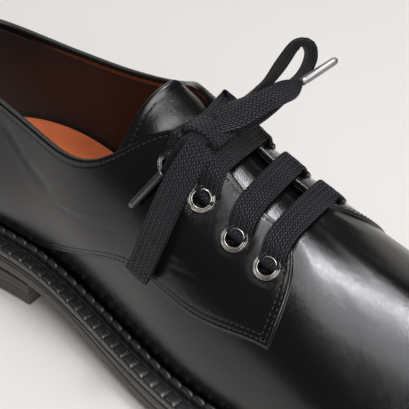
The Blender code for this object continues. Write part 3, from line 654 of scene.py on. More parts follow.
# %% Laces and metal
STRAND_WIDTH = 0.00096
STRAND_PITCH = 0.0016


def braided_cotton():
    """Flat braid in the lace's own UV, in metres. Its strands lie in ten columns along the lace, and lean
    to one side and to the other in turn, as in a plait. With v the place across a column from 0 to 1,
    and s the place along the lace in pitches plus or minus 0.95 v, a strand's height is
    |sin(pi s)|^0.7 (1 - (2v - 1)^4)."""
    finish = Finish("braided lace")
    along, across = finish.lie()
    column = across * (1.0 / STRAND_WIDTH) + 40.0
    v = column.fract()
    lean = ((column - v) * 0.5).fract() * 4.0 - 1.0
    s = along * (1.0 / STRAND_PITCH) + lean * (v * 0.95 - 0.2)
    strand = abs(s.wave(2.0)) ** 0.7 * (1.0 - abs(v * 2.0 - 1.0) ** 4.0)
    fuzz = finish.noise(2400.0, 3.0)
    wear = finish.noise(160.0, 2.0)
    bumps = finish.bump(strand + fuzz * 0.15, 0.00060, 1.0)
    # Painted light and shade in the base colour: near black in the gaps between strands, a painted shade,
    # and a pale bluish grey on the strands' crests, a painted highlight. Fuzz and wear vary it at random.
    return finish.done(
        Base_Color=finish.blend(
            strand ** 3.0 * (fuzz * 0.7 + wear * 0.9), (0.0002, 0.0002, 0.0003), (0.046, 0.047, 0.057)),
        Roughness=0.66 - strand * 0.26, Specular_IOR_Level=0.32, Normal=bumps)


lace = braided_cotton()
nickel = plain_finish("nickel rings", (0.40, 0.375, 0.345), 0.22, 900.0, Metallic=1.0)
clear_tip = plain_finish("clear tip", (0.035, 0.036, 0.040), 0.16, 700.0, Coat_Weight=1.0)
grey_tip = plain_finish("grey tip", (0.30, 0.29, 0.29), 0.34, 700.0, Metallic=0.8)
print(lace.name, nickel.name, clear_tip.name, grey_tip.name)

# %% [markdown]
# ## Laces and bow
#
# The lace is one flat ribbon. Its routes are short tables of places, with the direction across the
# ribbon at each of them; a spline runs through them, and a flattened section with rounded edges is
# carried along it.


# %% Routes and ribbons
def smooth_route(points, count):
    """Evenly spaced points on a Catmull-Rom spline through chosen ones. Extra columns come along."""
    p = np.asarray(points, float)
    p = np.vstack([2.0 * p[0] - p[1], p, 2.0 * p[-1] - p[-2]])
    t = np.linspace(0.0, 1.0, 24, endpoint=False)[:, None]
    fine = []
    for a, b, c, d in zip(p, p[1:], p[2:], p[3:]):
        fine.append(catmull_rom(a, b, c, d, t))
    fine = np.vstack(fine + [p[-2:-1]])
    walked = length_walked(fine[:, :3])
    even = np.linspace(0.0, walked[-1], count)
    return np.column_stack([np.interp(even, walked, fine[:, k]) for k in range(fine.shape[1])])


def ribbon(route, width, thickness, around=28):
    """Ribbon along a route of x, y, z, across x, y, z and share: at each point the section is the
    superellipse |w|^5 + |h|^2 = 1 of half width and half thickness, and the ends are closed caps."""
    centre, across, share = route[:, :3], route[:, 3:6], route[:, 6:7]
    ahead = np.gradient(centre, axis=0)
    ahead /= np.linalg.norm(ahead, axis=1)[:, None]
    across = across - ahead * np.sum(across * ahead, axis=1)[:, None]
    across /= np.linalg.norm(across, axis=1)[:, None]
    face = np.cross(ahead, across)
    turn = np.linspace(0.0, 2.0 * np.pi, around, endpoint=False)
    wide = np.sign(np.cos(turn)) * np.abs(np.cos(turn)) ** 0.4
    high = np.sin(turn) * (1.0 + 0.12 * np.cos(2.0 * np.pi * wide))
    squeeze = np.clip(share, 0.35, 1.0) ** -0.5
    rings = (
        centre[:, None] + across[:, None] * (0.5 * width * share)[:, None] * wide[None, :, None]
        + face[:, None] * (0.5 * thickness * squeeze)[:, None] * high[None, :, None])
    ends = [np.repeat(ring.mean(axis=0)[None, None], around, axis=1) for ring in (rings[0], rings[-1])]
    points = np.concatenate([ends[0], rings, ends[1]])
    walked = length_walked(centre)
    walked = np.concatenate([walked[:1], walked, walked[-1:]])
    down = np.repeat(walked[:, None], around, axis=1)
    over = np.broadcast_to(0.5 * width * wide, down.shape)
    return points, grid_faces(len(points), around, True), np.stack([down, over], axis=-1)


print("ribbon of", LACE_WIDTH, "by", LACE_THICKNESS)

# %% Bow tables
Lay = namedtuple("Lay", "x y z across_x across_y across_z share")
NEAR_LOOP = [
    Lay(-0.0044, -0.0163, 0.1008, 0.88, 0.10, -0.45, 0.9),
    Lay(-0.0047, -0.0234, 0.0953, 0.88, 0.10, -0.45, 1.0),
    Lay(-0.0063, -0.0287, 0.0876, 0.90, 0.12, -0.40, 1.0),
    Lay(-0.0078, -0.0333, 0.0787, 0.92, 0.10, -0.36, 1.0),
    Lay(-0.0094, -0.0374, 0.0693, 0.92, -0.02, -0.34, 1.0),
    Lay(-0.0119, -0.0405, 0.0586, 0.92, -0.02, -0.32, 1.0),
    Lay(-0.0138, -0.0398, 0.0551, 0.92, -0.02, -0.32, 1.0),
    Lay(-0.0140, -0.0375, 0.0553, 0.92, -0.02, -0.32, 1.0),
    Lay(-0.0111, -0.0343, 0.0665, 0.92, -0.02, -0.34, 1.0),
    Lay(-0.0095, -0.0300, 0.0759, 0.92, 0.10, -0.36, 1.0),
    Lay(-0.0080, -0.0254, 0.0848, 0.90, 0.12, -0.40, 1.0),
    Lay(-0.0063, -0.0202, 0.0925, 0.88, 0.10, -0.45, 1.0),
    Lay(-0.0054, -0.0145, 0.0978, 0.88, 0.10, -0.45, 0.9),
]
FAR_LOOP = [
    Lay(-0.0080, 0.0036, 0.0990, 0.85, 0.10, -0.50, 0.9),
    Lay(-0.0082, 0.0100, 0.1008, 0.75, -0.35, 0.10, 0.9),
    Lay(-0.0076, 0.0150, 0.1027, 0.49, -0.61, 0.62, 0.9),
    Lay(-0.0058, 0.0210, 0.1047, 0.25, -0.58, 0.76, 0.95),
    Lay(-0.0050, 0.0280, 0.1090, 0.10, -0.54, 0.83, 0.95),
    Lay(-0.0038, 0.0340, 0.1139, 0.20, -0.58, 0.78, 0.95),
    Lay(-0.0014, 0.0372, 0.1140, 0.49, -0.42, 0.76, 0.95),
    Lay(-0.0006, 0.0390, 0.1078, 0.75, -0.42, 0.48, 0.95),
    Lay(-0.0019, 0.0358, 0.1010, 0.80, -0.38, 0.40, 0.95),
    Lay(-0.0034, 0.0268, 0.0984, 0.85, -0.25, 0.10, 0.95),
    Lay(-0.0050, 0.0150, 0.0966, 0.86, -0.05, -0.30, 0.95),
    Lay(-0.0064, 0.0036, 0.0958, 0.85, 0.10, -0.50, 0.9),
]
NEAR_END = [
    Lay(-0.0107, -0.0136, 0.0996, 0.88, 0.10, -0.20, 0.28),
    Lay(-0.0115, -0.0180, 0.0982, 0.88, 0.10, -0.20, 0.25),
    Lay(-0.0124, -0.0216, 0.0946, 0.88, 0.10, -0.30, 0.25),
    Lay(-0.0138, -0.0238, 0.0902, 0.88, 0.10, -0.45, 0.25),
]
FAR_END = [
    Lay(-0.0078, -0.0042, 0.1008, 0.83, -0.20, -0.45, 0.80),
    Lay(-0.0034, 0.0018, 0.1020, 0.83, -0.36, -0.30, 0.95),
    Lay(-0.0008, 0.0094, 0.1040, 0.83, -0.36, -0.30, 0.95),
    Lay(0.0018, 0.0184, 0.1050, 0.83, -0.30, -0.38, 0.90),
    Lay(0.0030, 0.0240, 0.1046, 0.73, -0.10, -0.67, 0.7),
    Lay(0.0036, 0.0274, 0.1050, 0.73, -0.10, -0.67, 0.25),
]
NEAR_AGLET = ((-0.0142, -0.0243, 0.0892), (-0.0228, -0.0316, 0.0749))
FAR_AGLET = ((0.0038, 0.0280, 0.1053), (0.0088, 0.0416, 0.1098))
AGLET_RADIUS = 0.0015
KNOT_CENTRE = np.array((-0.0087, -0.0078, 0.0985))
KNOT_SIZE = (0.0130, 0.0160, 0.0072)
KNOT_LEAN = math.radians(28)
WRAP_HALF = 0.0040
WRAP_SLANT = 0.34


# %% Bow
def add_ribbon(name, route, node):
    points, faces, uv = ribbon(route, LACE_WIDTH, LACE_THICKNESS)
    return add_piece(name, points + CENTRE, faces, lace, [node], uv=uv)


AGLET_PROFILE = [
    (0.0, 0.0), (0.85, 0.0), (0.98, 0.03), (0.98, 0.06), (0.90, 0.10), (1.0, 0.14), (0.96, 0.5),
    (0.92, 0.9), (0.84, 0.95), (0.62, 0.98), (0.30, 1.0), (0.0, 1.0),
]


def tube(start, end, radius):
    """Tube from start to end: AGLET_PROFILE has shares of its radius and of its length, from a crimped
    mouth to a rounded tip."""
    line = np.subtract(end, start)
    length = np.linalg.norm(line)
    profile = [(radius * size, length * share) for size, share in AGLET_PROFILE]
    return turned(profile, np.array(start), line / length, (0.0, 0.0, 1.0), 24)


near_route = smooth_route(NEAR_LOOP, 90)
far_route = smooth_route(FAR_LOOP, 90)
loop_near = add_ribbon("bow_loop_near", near_route, "lace_loop_near")
loop_far = add_ribbon("bow_loop_far", far_route, "lace_loop_far")
end_near = add_ribbon("bow_end_near", smooth_route(NEAR_END, 24), "lace_end_near")
end_far = add_ribbon("bow_end_far", smooth_route(FAR_END, 40), "lace_end_far")
points, faces = tube(*NEAR_AGLET, AGLET_RADIUS)
tip_near = add_piece("tip_near", points + CENTRE, faces, clear_tip, ["aglet_near"])
points, faces = tube(*FAR_AGLET, AGLET_RADIUS)
tip_far = add_piece("tip_far", points + CENTRE, faces, grey_tip, ["aglet_far"])


# %% Knot
def knot():
    """The knot: a core of gathered ribbon with one leaning turn of ribbon round it. Along the knot the
    core's size is (1 - |v|^3.5)^0.45, and the turn round it is a step with slightly raised edges."""
    turn = np.linspace(0.0, 2.0 * np.pi, 96, endpoint=False)
    over = np.sin(np.linspace(-np.pi / 2.0, np.pi / 2.0, 161))
    down, wide, off = KNOT_SIZE
    y = 0.5 * wide * over
    wrap = smooth_step(-np.abs(y), -WRAP_HALF - 0.0002, -WRAP_HALF + 0.0001)
    raised = 0.05 * bell(np.abs(y) - WRAP_HALF + 0.0006, 0.0006)
    size = ((1.0 - np.abs(over) ** 3.5) ** 0.45 * (0.56 + 0.44 * wrap + raised))[:, None]
    x = 0.5 * down * size * np.cos(turn)
    z = 0.5 * off * size * np.sin(turn)
    lean_x = x * math.cos(KNOT_LEAN) + z * math.sin(KNOT_LEAN)
    lean_z = -x * math.sin(KNOT_LEAN) + z * math.cos(KNOT_LEAN)
    points = np.stack([lean_x, y[:, None] + WRAP_SLANT * x, lean_z], axis=-1) + KNOT_CENTRE
    walked = np.broadcast_to(turn * 0.25 * (down + off), size.shape[:1] + turn.shape)
    beside = np.broadcast_to(y[:, None], walked.shape)
    on_wrap = (wrap > 0.5)[:, None]
    uv = np.stack([np.where(on_wrap, walked, beside), np.where(on_wrap, beside, walked)], axis=-1)
    return points, grid_faces(len(over), len(turn), True), uv


points, faces, uv = knot()
bow_knot = add_piece("bow_knot", points + CENTRE, faces, lace, ["lace_knot"], uv=uv)

# %% [markdown]
# ## Bars, crossings and eyelets
#
# Each bar lies on the facings, crosses the throat and dives into its eyelets. Under the facings the same
# lace crosses the tongue to the next row, and a little of it shows between the bars.


# %% Bars
def dive(point, normal, ahead, forward):
    """Places of the ribbon over an eyelet's ring and down its hole: forward points to the bar."""
    rows = []
    for out, up, share in ((0.80, 1.9, 0.97), (0.36, 1.7, 0.84), (0.12, 0.4, 0.70), (0.06, -1.8, 0.62)):
        place = point + forward * (out * EYELET_RADIUS) + normal * (up * EYELET_RISE)
        rows.append(np.concatenate([place - CENTRE, ahead, [share]]))
    return rows


def bar_route(row, forward):
    """Route of one bar, from the outer eyelet's hole over the facings to the inner one's."""
    y_outer, y_inner = -row.outer * BALL_WIDTH, row.inner * BALL_WIDTH
    edge = row.edge * BALL_WIDTH
    rows = []
    past_flange = EYELET_RADIUS + 0.001
    reach = LACE_WIDTH / 2.0
    for y in (y_outer + past_flange, -edge, 0.0, edge, y_inner - past_flange):
        share = (y - y_outer) / (y_inner - y_outer)
        x = (row.along + (row.inner_along - row.along) * share) * LENGTH
        x += forward * math.sin(math.pi * share)
        sides = (-edge, edge) if y == 0.0 else (y,)
        back, middle, front = [
            np.mean([facing_at(x + shift, side) for side in sides], axis=0)
            for shift in (-reach, 0.0, reach)]
        under = np.array([x, y, (back[0][2] + front[0][2]) / 2.0])
        over = row.clear + LACE_THICKNESS / 2.0 + max(0.0, np.dot(middle[0] - under, middle[1]))
        over += (EYELET_RISE + GAP) * (abs(y) > edge) + 0.0010 * (y == 0.0)
        across = np.array([2.0 * reach, 0.0, front[0][2] - back[0][2]])
        across /= np.linalg.norm(across)
        rows.append(np.concatenate([under + middle[1] * over - CENTRE, across, [1.0]]))
    number = EYELETS.index(row)
    (outer, outer_up), (inner, inner_up) = EYELET_PLACES[2 * number:2 * number + 2]
    to_inner = (inner - outer) / np.linalg.norm(inner - outer)
    first = dive(outer, outer_up, rows[0][3:6], to_inner)[::-1]
    last = dive(inner, inner_up, rows[-1][3:6], -to_inner)
    return smooth_route(first + rows + last, 110)


for number, row in enumerate(EYELETS, start=1):
    add_ribbon(f"bar_{number}", bar_route(row, 0.003 * (number == 4)), f"lace_bar_{number}")


# %% Crossings under the facings
IN_THE_HOLE = 0.0022
UNDER_THE_FACING = 0.0046
CROSSING_SAG = 0.0015


def crossing(low, high):
    """Ribbon under the facings from one eyelet to one in the next row, sagging onto the tongue."""
    (start, start_up), (end, end_up) = low, high
    middle = (start + end) / 2.0
    middle[2] -= CROSSING_SAG
    across = np.cross(end - start, (0.0, 0.0, 1.0))
    across /= np.linalg.norm(across)
    rows = [
        (start - start_up * IN_THE_HOLE, 0.5), (start - start_up * UNDER_THE_FACING, 0.8), (middle, 1.0),
        (end - end_up * UNDER_THE_FACING, 0.8), (end - end_up * IN_THE_HOLE, 0.5)]
    return smooth_route([np.concatenate([place - CENTRE, across, [share]]) for place, share in rows], 60)


parts = []
for number in range(3):
    low, high = EYELET_PLACES[2 * number], EYELET_PLACES[2 * number + 3]
    parts.append(ribbon(crossing(low, high), LACE_WIDTH, 0.9 * LACE_THICKNESS))
points, faces = joined([(p, f) for p, f, _ in parts])
uv = np.concatenate([u.reshape(-1, 2) for _, _, u in parts])
add_piece("crossings", points + CENTRE, faces, lace, uv=uv)


# %% Eyelets
RING_RADIUS = EYELET_RADIUS
RING_HOLE = EYELET_HOLE - 0.0003
BARREL_DEPTH = 0.0028


def eyelet_profile():
    """Rolled ring: an inner bead, half of an ellipse, a shallow dish outside it and a thin outer rim, also
    half of an ellipse, with a barrel below the hole."""
    def roll(middle, half, rise, low):
        turn = np.linspace(0.0, np.pi, 9)
        return [(middle + half * math.cos(a), low + (rise - low) * math.sin(a)) for a in turn]

    wide = RING_RADIUS - RING_HOLE
    rim = roll(RING_RADIUS - 0.12 * wide, 0.12 * wide, EYELET_RISE * 0.72, EYELET_RISE * 0.30)
    bead = roll(RING_HOLE + 0.27 * wide, 0.27 * wide, EYELET_RISE * 1.05, EYELET_RISE * 0.25)
    barrel = [(RING_HOLE, -BARREL_DEPTH), (RING_HOLE + 0.0003, -BARREL_DEPTH)]
    return [(RING_RADIUS - 0.0001, 0.0)] + rim + bead + barrel


profile = eyelet_profile()
points, faces = joined([turned(profile, place, up, (1.0, 0.3, 0.2), 40) for place, up in EYELET_PLACES])
rings = [f"eyelet_{side}_{number}" for number in range(1, 5) for side in ("outer", "inner")]
add_piece("eyelet_rings", points, faces, nickel, rings)

# %% [markdown]
# ## Creases
#
# Leather over an empty shoe isn't quite smooth: it puckers under the facing, buckles a little at the
# waist and flexes across the vamp. Each crease is a line between two places on the skin, with a width
# and a depth; the skin sinks there by a bell curve of the distance to the line. A negative depth is a
# ridge. Places are shares round the shoe and up the profile.

# %% Crease table
Crease = namedtuple("Crease", "where share to_where to_share width depth")
CREASES = [
    Crease(0.108, 0.92, 0.128, 0.77, 0.0022, 0.00030),
    Crease(0.128, 0.77, 0.151, 0.69, 0.0022, 0.00028),
    Crease(0.112, 0.86, 0.132, 0.70, 0.0018, -0.00016),
    Crease(0.150, 0.62, 0.182, 0.60, 0.0011, 0.00014),
    Crease(0.160, 0.66, 0.200, 0.62, 0.0010, -0.00012),
    Crease(0.172, 0.56, 0.207, 0.54, 0.0012, 0.00014),
    Crease(0.224, 0.50, 0.246, 0.54, 0.0011, 0.00014),
    Crease(0.230, 0.53, 0.252, 0.575, 0.0010, -0.00012),
    Crease(0.238, 0.49, 0.262, 0.54, 0.0010, 0.00014),
    Crease(0.205, 0.40, 0.235, 0.46, 0.0014, 0.00016),
    Crease(0.700, 0.62, 0.765, 0.50, 0.0032, 0.00025),
    Crease(0.820, 0.55, 0.850, 0.25, 0.0042, 0.00030),
]


def crease_depth(points):
    """How far the skin sinks at each point: the sum, over the creases, of depth times
    exp(-(distance / width)^2), fading out over the last fifth of each line."""
    sunk = np.zeros(len(points))
    for c in CREASES:
        share = np.linspace(0.0, 1.0, 12)
        line = upper_surface(
            c.where + (c.to_where - c.where) * share, c.share + (c.to_share - c.share) * share)
        gap = np.linalg.norm(points[:, None] - line[None], axis=2)
        fade = smooth_step(share, -0.05, 0.25) * (1.0 - smooth_step(share, 0.75, 1.05))
        sunk += c.depth * np.max(bell(gap, c.width) * fade, axis=1)
    return sunk


print("creases:", len(CREASES))

# %% [markdown]
# ## Upper
#
# The vamp is cut first, and the quarters are sewn over it, so their lower and front edges stand proud by
# a leather's thickness. The grid's rows run round the shoe and crowd at the seam and the topline, so
# that the edges are crisp and each line of stitching lies in a shallow furrow. At the topline the
# leather turns over a rounded edge.

# %% Measuring along the profiles
# FRONT_ROUND is the length in metres that one whole share round the shoe has at the quarters' front edge.
RULER = np.linspace(0.0, 1.0, 121)
SEAM_ROWS = (0.0016, 0.0033)
TOP_ROW = 0.0017
FRONT_ROUND = 0.62
LEATHER_HOLE = EYELET_HOLE + 0.0006
LINING_HOLE = EYELET_HOLE + 0.0009
FURROW_DEPTH = 0.00010
FURROW_WIDTH = 0.0005


def profile_ruler(where):
    """Length walked up each profile at every share of RULER, from neighbouring points."""
    points = upper_surface(np.repeat(where, len(RULER)), np.tile(RULER, len(where)))
    points = points.reshape(len(where), len(RULER), 3)
    steps = np.linalg.norm(np.diff(points, axis=1), axis=2)
    return np.concatenate([np.zeros((len(where), 1)), np.cumsum(steps, axis=1)], axis=1)


def share_at(ruler, lengths):
    """Share of each profile at which a length has been walked; lengths has one row per profile."""
    return np.array([np.interp(length, walked, RULER) for walked, length in zip(ruler, lengths)])


def length_at(ruler, share):
    return np.array([np.interp(s, RULER, walked) for walked, s in zip(ruler, share)])


print("furrows at", SEAM_ROWS, "and", TOP_ROW)


# %% Leather shell
def shell_columns():
    """Even columns, with close ones at the quarters' front edges and their stitches."""
    columns = np.arange(560) / 560.0
    steps = np.array([
        -4.2, -3.6, -3.3, -3.0, -2.4, -1.9, -1.6, -1.3, -0.8, -0.3, -0.12, 0.0, 0.12, 0.3, 0.8])
    close = steps * 0.001 / FRONT_ROUND
    for edge, sign in ((FRONT, 1.0), (1.0 - FRONT, -1.0)):
        columns = columns[np.abs(columns - (edge - sign * 0.0028)) > 0.0045]
        columns = np.append(columns, edge + sign * close)
    return np.sort(columns)


def eyelet_gap(points):
    """Distance of each point from the nearest eyelet's centre."""
    places = np.array([place for place, _ in EYELET_PLACES])
    return np.min(np.linalg.norm(points[:, None] - places[None], axis=2), axis=1)


def leather_shell():
    """Rows up to the seam, over its step, up to the topline and round its edge. Each row is a share of
    the profile and an offset along the normal: the quarter's step, less furrows and creases."""
    where = shell_columns()
    ruler = profile_ruler(where)
    total = ruler[:, -1:]
    seam = length_at(ruler, seam_share(where))[:, None]
    vamp = np.linspace(0.0, 1.0, 27)[None, :-1] * (seam - 0.0005)
    step = seam + np.array([[-0.0005, -0.00012, 0.0, 0.00012, 0.0004]])
    near = seam + np.array([[0.0009, 0.0013, 0.0016, 0.0019, 0.0024, 0.0029, 0.0033, 0.0037, 0.0044]])
    start, stop = near[:, -1:], total - 0.0034
    quarter = start + (stop - start) * np.linspace(0.0, 1.0, 58)[None, 1:]
    edge = total - np.array([[0.0027, 0.0023, 0.0020, 0.0017, 0.0014, 0.0011, 0.0007, 0.0003, 0.0]])
    lengths = np.concatenate([vamp, step, near, quarter, edge], axis=1)
    share = share_at(ruler, lengths).T
    rows, count = share.shape
    flat = lambda a: np.broadcast_to(a, (rows, count)).ravel()
    skin = upper_surface(flat(where[None]), share.ravel())
    normal = surface_normal(flat(where[None]), share.ravel())
    above = (lengths - seam).T.ravel()
    below = (total - lengths).T.ravel()
    ahead = np.minimum(np.abs(where - FRONT), np.abs(where - 1.0 + FRONT)) * FRONT_ROUND
    on_quarter = (where < FRONT) | (where > 1.0 - FRONT)
    signed = flat(np.where(on_quarter, ahead, -ahead)[None])
    raised = smooth_step(above, -0.00015, 0.00035) * smooth_step(signed, -0.00010, 0.00028)
    inside = (signed > 0.0005) * (above > 0.0005)
    furrow = sum(bell(above - d, FURROW_WIDTH) + bell(signed - d, FURROW_WIDTH) for d in SEAM_ROWS)
    furrow = np.clip(furrow, 0.0, 1.0) * inside + bell(below - TOP_ROW, FURROW_WIDTH) * (signed > 0.0)
    press = smooth_step(eyelet_gap(skin), 0.0045, 0.0075)
    sunk = crease_depth(skin) * smooth_step(below, 0.001, 0.008)
    offset = QUARTER_STEP * raised - FURROW_DEPTH * furrow - sunk - 0.0003 * (1.0 - press)
    outer = (skin + normal * offset[:, None]).reshape(rows, count, 3)
    return where, ruler, outer, normal.reshape(rows, count, 3), offset.reshape(rows, count)


where, ruler, outer, normals, offsets = leather_shell()
print("shell rows and columns:", outer.shape[:2])


# %% Topline's edge and the shell's mesh
def rolled_edge():
    """Half turn from the outer skin to the lining: the height is a sine, the offset a cosine."""
    last, up = outer[-1], outer[-1] - outer[-3]
    up /= np.linalg.norm(up, axis=1)[:, None]
    side = normals[-1]
    top, low = offsets[-1][:, None], -UPPER_WALL
    middle, half = (top + low) / 2.0, (top - low) / 2.0
    base = last - side * top
    rows = []
    for turn in np.linspace(0.0, np.pi, 8)[1:]:
        rows.append(base + side * (middle + half * math.cos(turn)) + up * (0.0009 * math.sin(turn)))
    for down in (0.0008, 0.0020, 0.0036):
        share = share_at(ruler, ruler[:, -1:] - down)[:, 0]
        rows.append(upper_surface(where, share) + surface_normal(where, share) * low)
    return np.array(rows)


foot = outer[0].copy()
foot[:, 2] = seat(foot[:, 0]) + GAP
grid = np.concatenate([foot[None], outer, rolled_edge()])
points = grid.reshape(-1, 3)
faces = grid_faces(grid.shape[0], grid.shape[1], True)
centres = points[faces].mean(axis=1)
faces = faces[eyelet_gap(centres) > LEATHER_HOLE]
outward = np.zeros_like(points)
outward[:len(outer) * len(where)] = normals.reshape(-1, 3)
faces = facing_out(points, faces, outward)
shell = add_piece("leather_upper", points, faces, calf, ["upper"], solid=False)


# %% Lining
def lining_grid():
    """Inner face of the wall, from just under the topline to the insole, a hair inside the leather."""
    columns = np.arange(420) / 420.0
    measured = profile_ruler(columns)
    total = measured[:, -1:]
    down = np.concatenate([[0.0022, 0.0026, 0.0032], np.linspace(0.0, 1.0, 44)[1:] * 0.999])
    lengths = np.where(down[None] < 0.004, total - down[None], (total - 0.0032) * (1.0 - down[None]))
    share = share_at(measured, lengths).T
    rows, count = share.shape
    across = np.broadcast_to(columns[None], share.shape).ravel()
    normal = surface_normal(across, share.ravel())
    depth = np.full((rows, count), UPPER_WALL + 0.00025)
    depth[0] = UPPER_WALL - 0.00010
    skin = upper_surface(across, share.ravel())
    skin -= normal * depth.reshape(-1, 1)
    return skin, normal, grid_faces(rows, count, True)


points, normal, faces = lining_grid()
faces = facing_out(points, faces, -normal)
faces = faces[eyelet_gap(points[faces].mean(axis=1)) > LINING_HOLE]
add_piece("lining", points, faces, lining, solid=False)

# %% [markdown]
# ## Storm welt
#
# A strip of leather is sewn all round between the upper and the sole. Its outer flat is indented between
# the stitches, which leaves a row of small pads, and its raised rim beside the upper is overcast, which
# shows as a row of shining beads. Both repeat at the same pitch, so one phase serves them.

# %% Welt sizes
BEADS = 112
PER_BEAD = 14
PAD_RISE = 0.0006

# The beads are evenly long, so the welt's columns are spaced by the length walked along its inner edge.
fine = np.linspace(0.0, 1.0, 2001)
foot_walked = length_walked(outline(fine, WELT_WIDTH)[0])
foot_share = foot_walked / foot_walked[-1]
welt_where = np.interp(np.arange(BEADS * PER_BEAD) / (BEADS * PER_BEAD), foot_share, fine)
bead_pitch = foot_walked[-1] / BEADS
print("beads:", BEADS, "of", round(bead_pitch * 1000, 2), "mm")


# %% Welt
def welt_grid(columns):
    """Section of the welt at every column. The bead's swell is (1 - |2p - 1|^3)^0.6 of the phase p; it
    drives the rim's height and width. The pad's is the same with a sharper power, and fades towards the
    rim."""
    phase = np.interp(columns, fine, foot_share) * BEADS
    p = np.mod(phase, 1.0)
    swell = (1.0 - np.abs(2.0 * p - 1.0) ** 3) ** 0.6
    q = np.mod(phase + 0.42, 1.0)
    pad = (1.0 - np.abs(2.0 * q - 1.0) ** 7) ** 0.9
    top = WELT_THICKNESS
    rows = [
        (0.0006, 0.0, 0.0), (0.0, 0.0005, 0.0), (0.0, top - 0.0006, 0.0), (0.0002, top - 0.0001, 0.3),
        (0.0006, top, 0.8), (0.0012, top, 1.0), (0.0020, top, 1.0), (0.0028, top, 1.0),
        (0.0036, top, 0.9), (0.0043, top, 0.6), (0.0048, top, 0.2), (WELT_FLAT, top - 0.0003, 0.0),
        (WELT_FLAT + 0.5 * WELT_GROOVE, top - WELT_GROOVE, 0.0)]
    loops = []
    for inset, up, padded in rows:
        scallop = 0.00035 * (1.0 - pad) * (inset < 0.001) * (up > 0.001)
        line, _ = outline(columns, inset + scallop)
        height = seat(line[:, 0]) + GAP + up + PAD_RISE * padded * (pad - 0.55 * (1.0 - pad))
        loops.append(np.column_stack([line, height]))
    base = WELT_FLAT + WELT_GROOVE
    for turn in np.linspace(0.0, np.pi, 15):
        width = RIDGE_WIDTH * (0.80 + 0.20 * swell)
        middle = base + RIDGE_WIDTH / 2.0
        inset = middle - 0.5 * width * np.sign(math.cos(turn)) * abs(math.cos(turn)) ** 0.75
        line, _ = outline(columns, inset)
        rise = RIDGE_RISE * (0.72 + 0.32 * swell) * math.sin(turn) ** 0.7
        up = WELT_THICKNESS - WELT_GROOVE + (rise + WELT_GROOVE * math.sin(turn)) - 0.0002
        loops.append(np.column_stack([line, seat(line[:, 0]) + GAP + up]))
    for up in (WELT_THICKNESS - WELT_GROOVE, 0.0):
        line, _ = outline(columns, WELT_WIDTH)
        loops.append(np.column_stack([line, seat(line[:, 0]) + GAP + up]))
    loops.append(loops[0])
    grid = np.array(loops)
    down = np.broadcast_to(phase[None] * bead_pitch, grid.shape[:2])
    over = np.broadcast_to(np.arange(len(loops))[:, None] * 0.0006, grid.shape[:2])
    return grid, np.stack([down, over], axis=-1)


grid, uv = welt_grid(welt_where)
add_piece("storm_welt", grid, grid_faces(*grid.shape[:2], True), welt_finish, ["welt"], uv=uv)

# %% [markdown]
# ## Stitches
#
# A stitch is a short run of thread between two holes: a small half-buried capsule. All the stitches of
# a seam are one mesh, made from one capsule's points times the frames along the line.


# %% Stitch helper
def capsules(line, normal, pitch, size, shift=0.0):
    """Capsules along a line: its points are resampled at the pitch, and each capsule is a 7 by 8 grid,
    size long, wide and high, along the line's own direction. shift moves them by a share of the pitch."""
    walked = length_walked(line)
    count = int(walked[-1] / pitch)
    at = (np.arange(count) + 0.5 + shift) * walked[-1] / count
    read = lambda values, where: np.column_stack([np.interp(where, walked, values[:, k]) for k in range(3)])
    place, up = read(line, at), read(normal, at)
    up /= np.linalg.norm(up, axis=1)[:, None]
    ahead = read(line, at + 0.3 * pitch) - read(line, at - 0.3 * pitch)
    ahead /= np.linalg.norm(ahead, axis=1)[:, None] + 1e-12
    side = np.cross(up, ahead)
    run = np.linspace(-1.0, 1.0, 7)
    fat = np.sqrt(np.clip(1.0 - np.abs(run) ** 3, 0.0, 1.0))
    turn = np.linspace(0.0, 2.0 * np.pi, 8, endpoint=False)
    shape = np.stack(np.broadcast_arrays(
        0.5 * size[0] * run[:, None], 0.5 * size[1] * fat[:, None] * np.cos(turn),
        size[2] * fat[:, None] * np.sin(turn)), axis=-1)
    points = place[:, None, None] + sum(
        shape[None, ..., k:k + 1] * axis[:, None, None] for k, axis in enumerate((ahead, side, up)))
    one = grid_faces(7, 8, True)
    faces = (one[None] + (np.arange(count) * 56)[:, None, None]).reshape(-1, 4)
    return points.reshape(-1, 3), faces


STITCH_PITCH = 0.0021
STITCH_SIZE = (0.0015, 0.00050, 0.00020)


def skin_line(where, lengths, offset):
    """Points and normals on the skin at shares round the shoe and lengths up the profiles."""
    measured = profile_ruler(where)
    share = share_at(measured, lengths(measured)[:, None])[:, 0]
    normal = surface_normal(where, share)
    return upper_surface(where, share) + normal * offset, normal


def seam_length(measured, where, above):
    return length_at(measured, seam_share(where)) + above


# %% Stitch rows on the upper
rows = []
on_quarter = QUARTER_STEP - 0.00008
for above in SEAM_ROWS:
    back = above / FRONT_ROUND
    for start, stop in ((0.150, FRONT - back), (1.0 - FRONT + back, 0.850)):
        where = np.linspace(start, stop, 300)
        line, normal = skin_line(where, lambda m: seam_length(m, where, above), on_quarter)
        rows.append(capsules(line, normal, STITCH_PITCH, STITCH_SIZE))
    for edge, sign in ((FRONT, -1.0), (1.0 - FRONT, 1.0)):
        where = np.full(120, edge + sign * back)
        share = np.linspace(float(seam_share(where[:1])[0]) + 0.012, 0.985, 120)
        normal = surface_normal(where, share)
        line = upper_surface(where, share) + normal * on_quarter
        rows.append(capsules(line, normal, STITCH_PITCH, STITCH_SIZE))
where = np.linspace(-FRONT + 0.004, FRONT - 0.004, 1200)
line, normal = skin_line(where, lambda m: m[:, -1] - TOP_ROW, on_quarter)
rows.append(capsules(line, normal, STITCH_PITCH, STITCH_SIZE))
points, faces = joined(rows)
add_piece("upper_stitches", points, faces, thread)

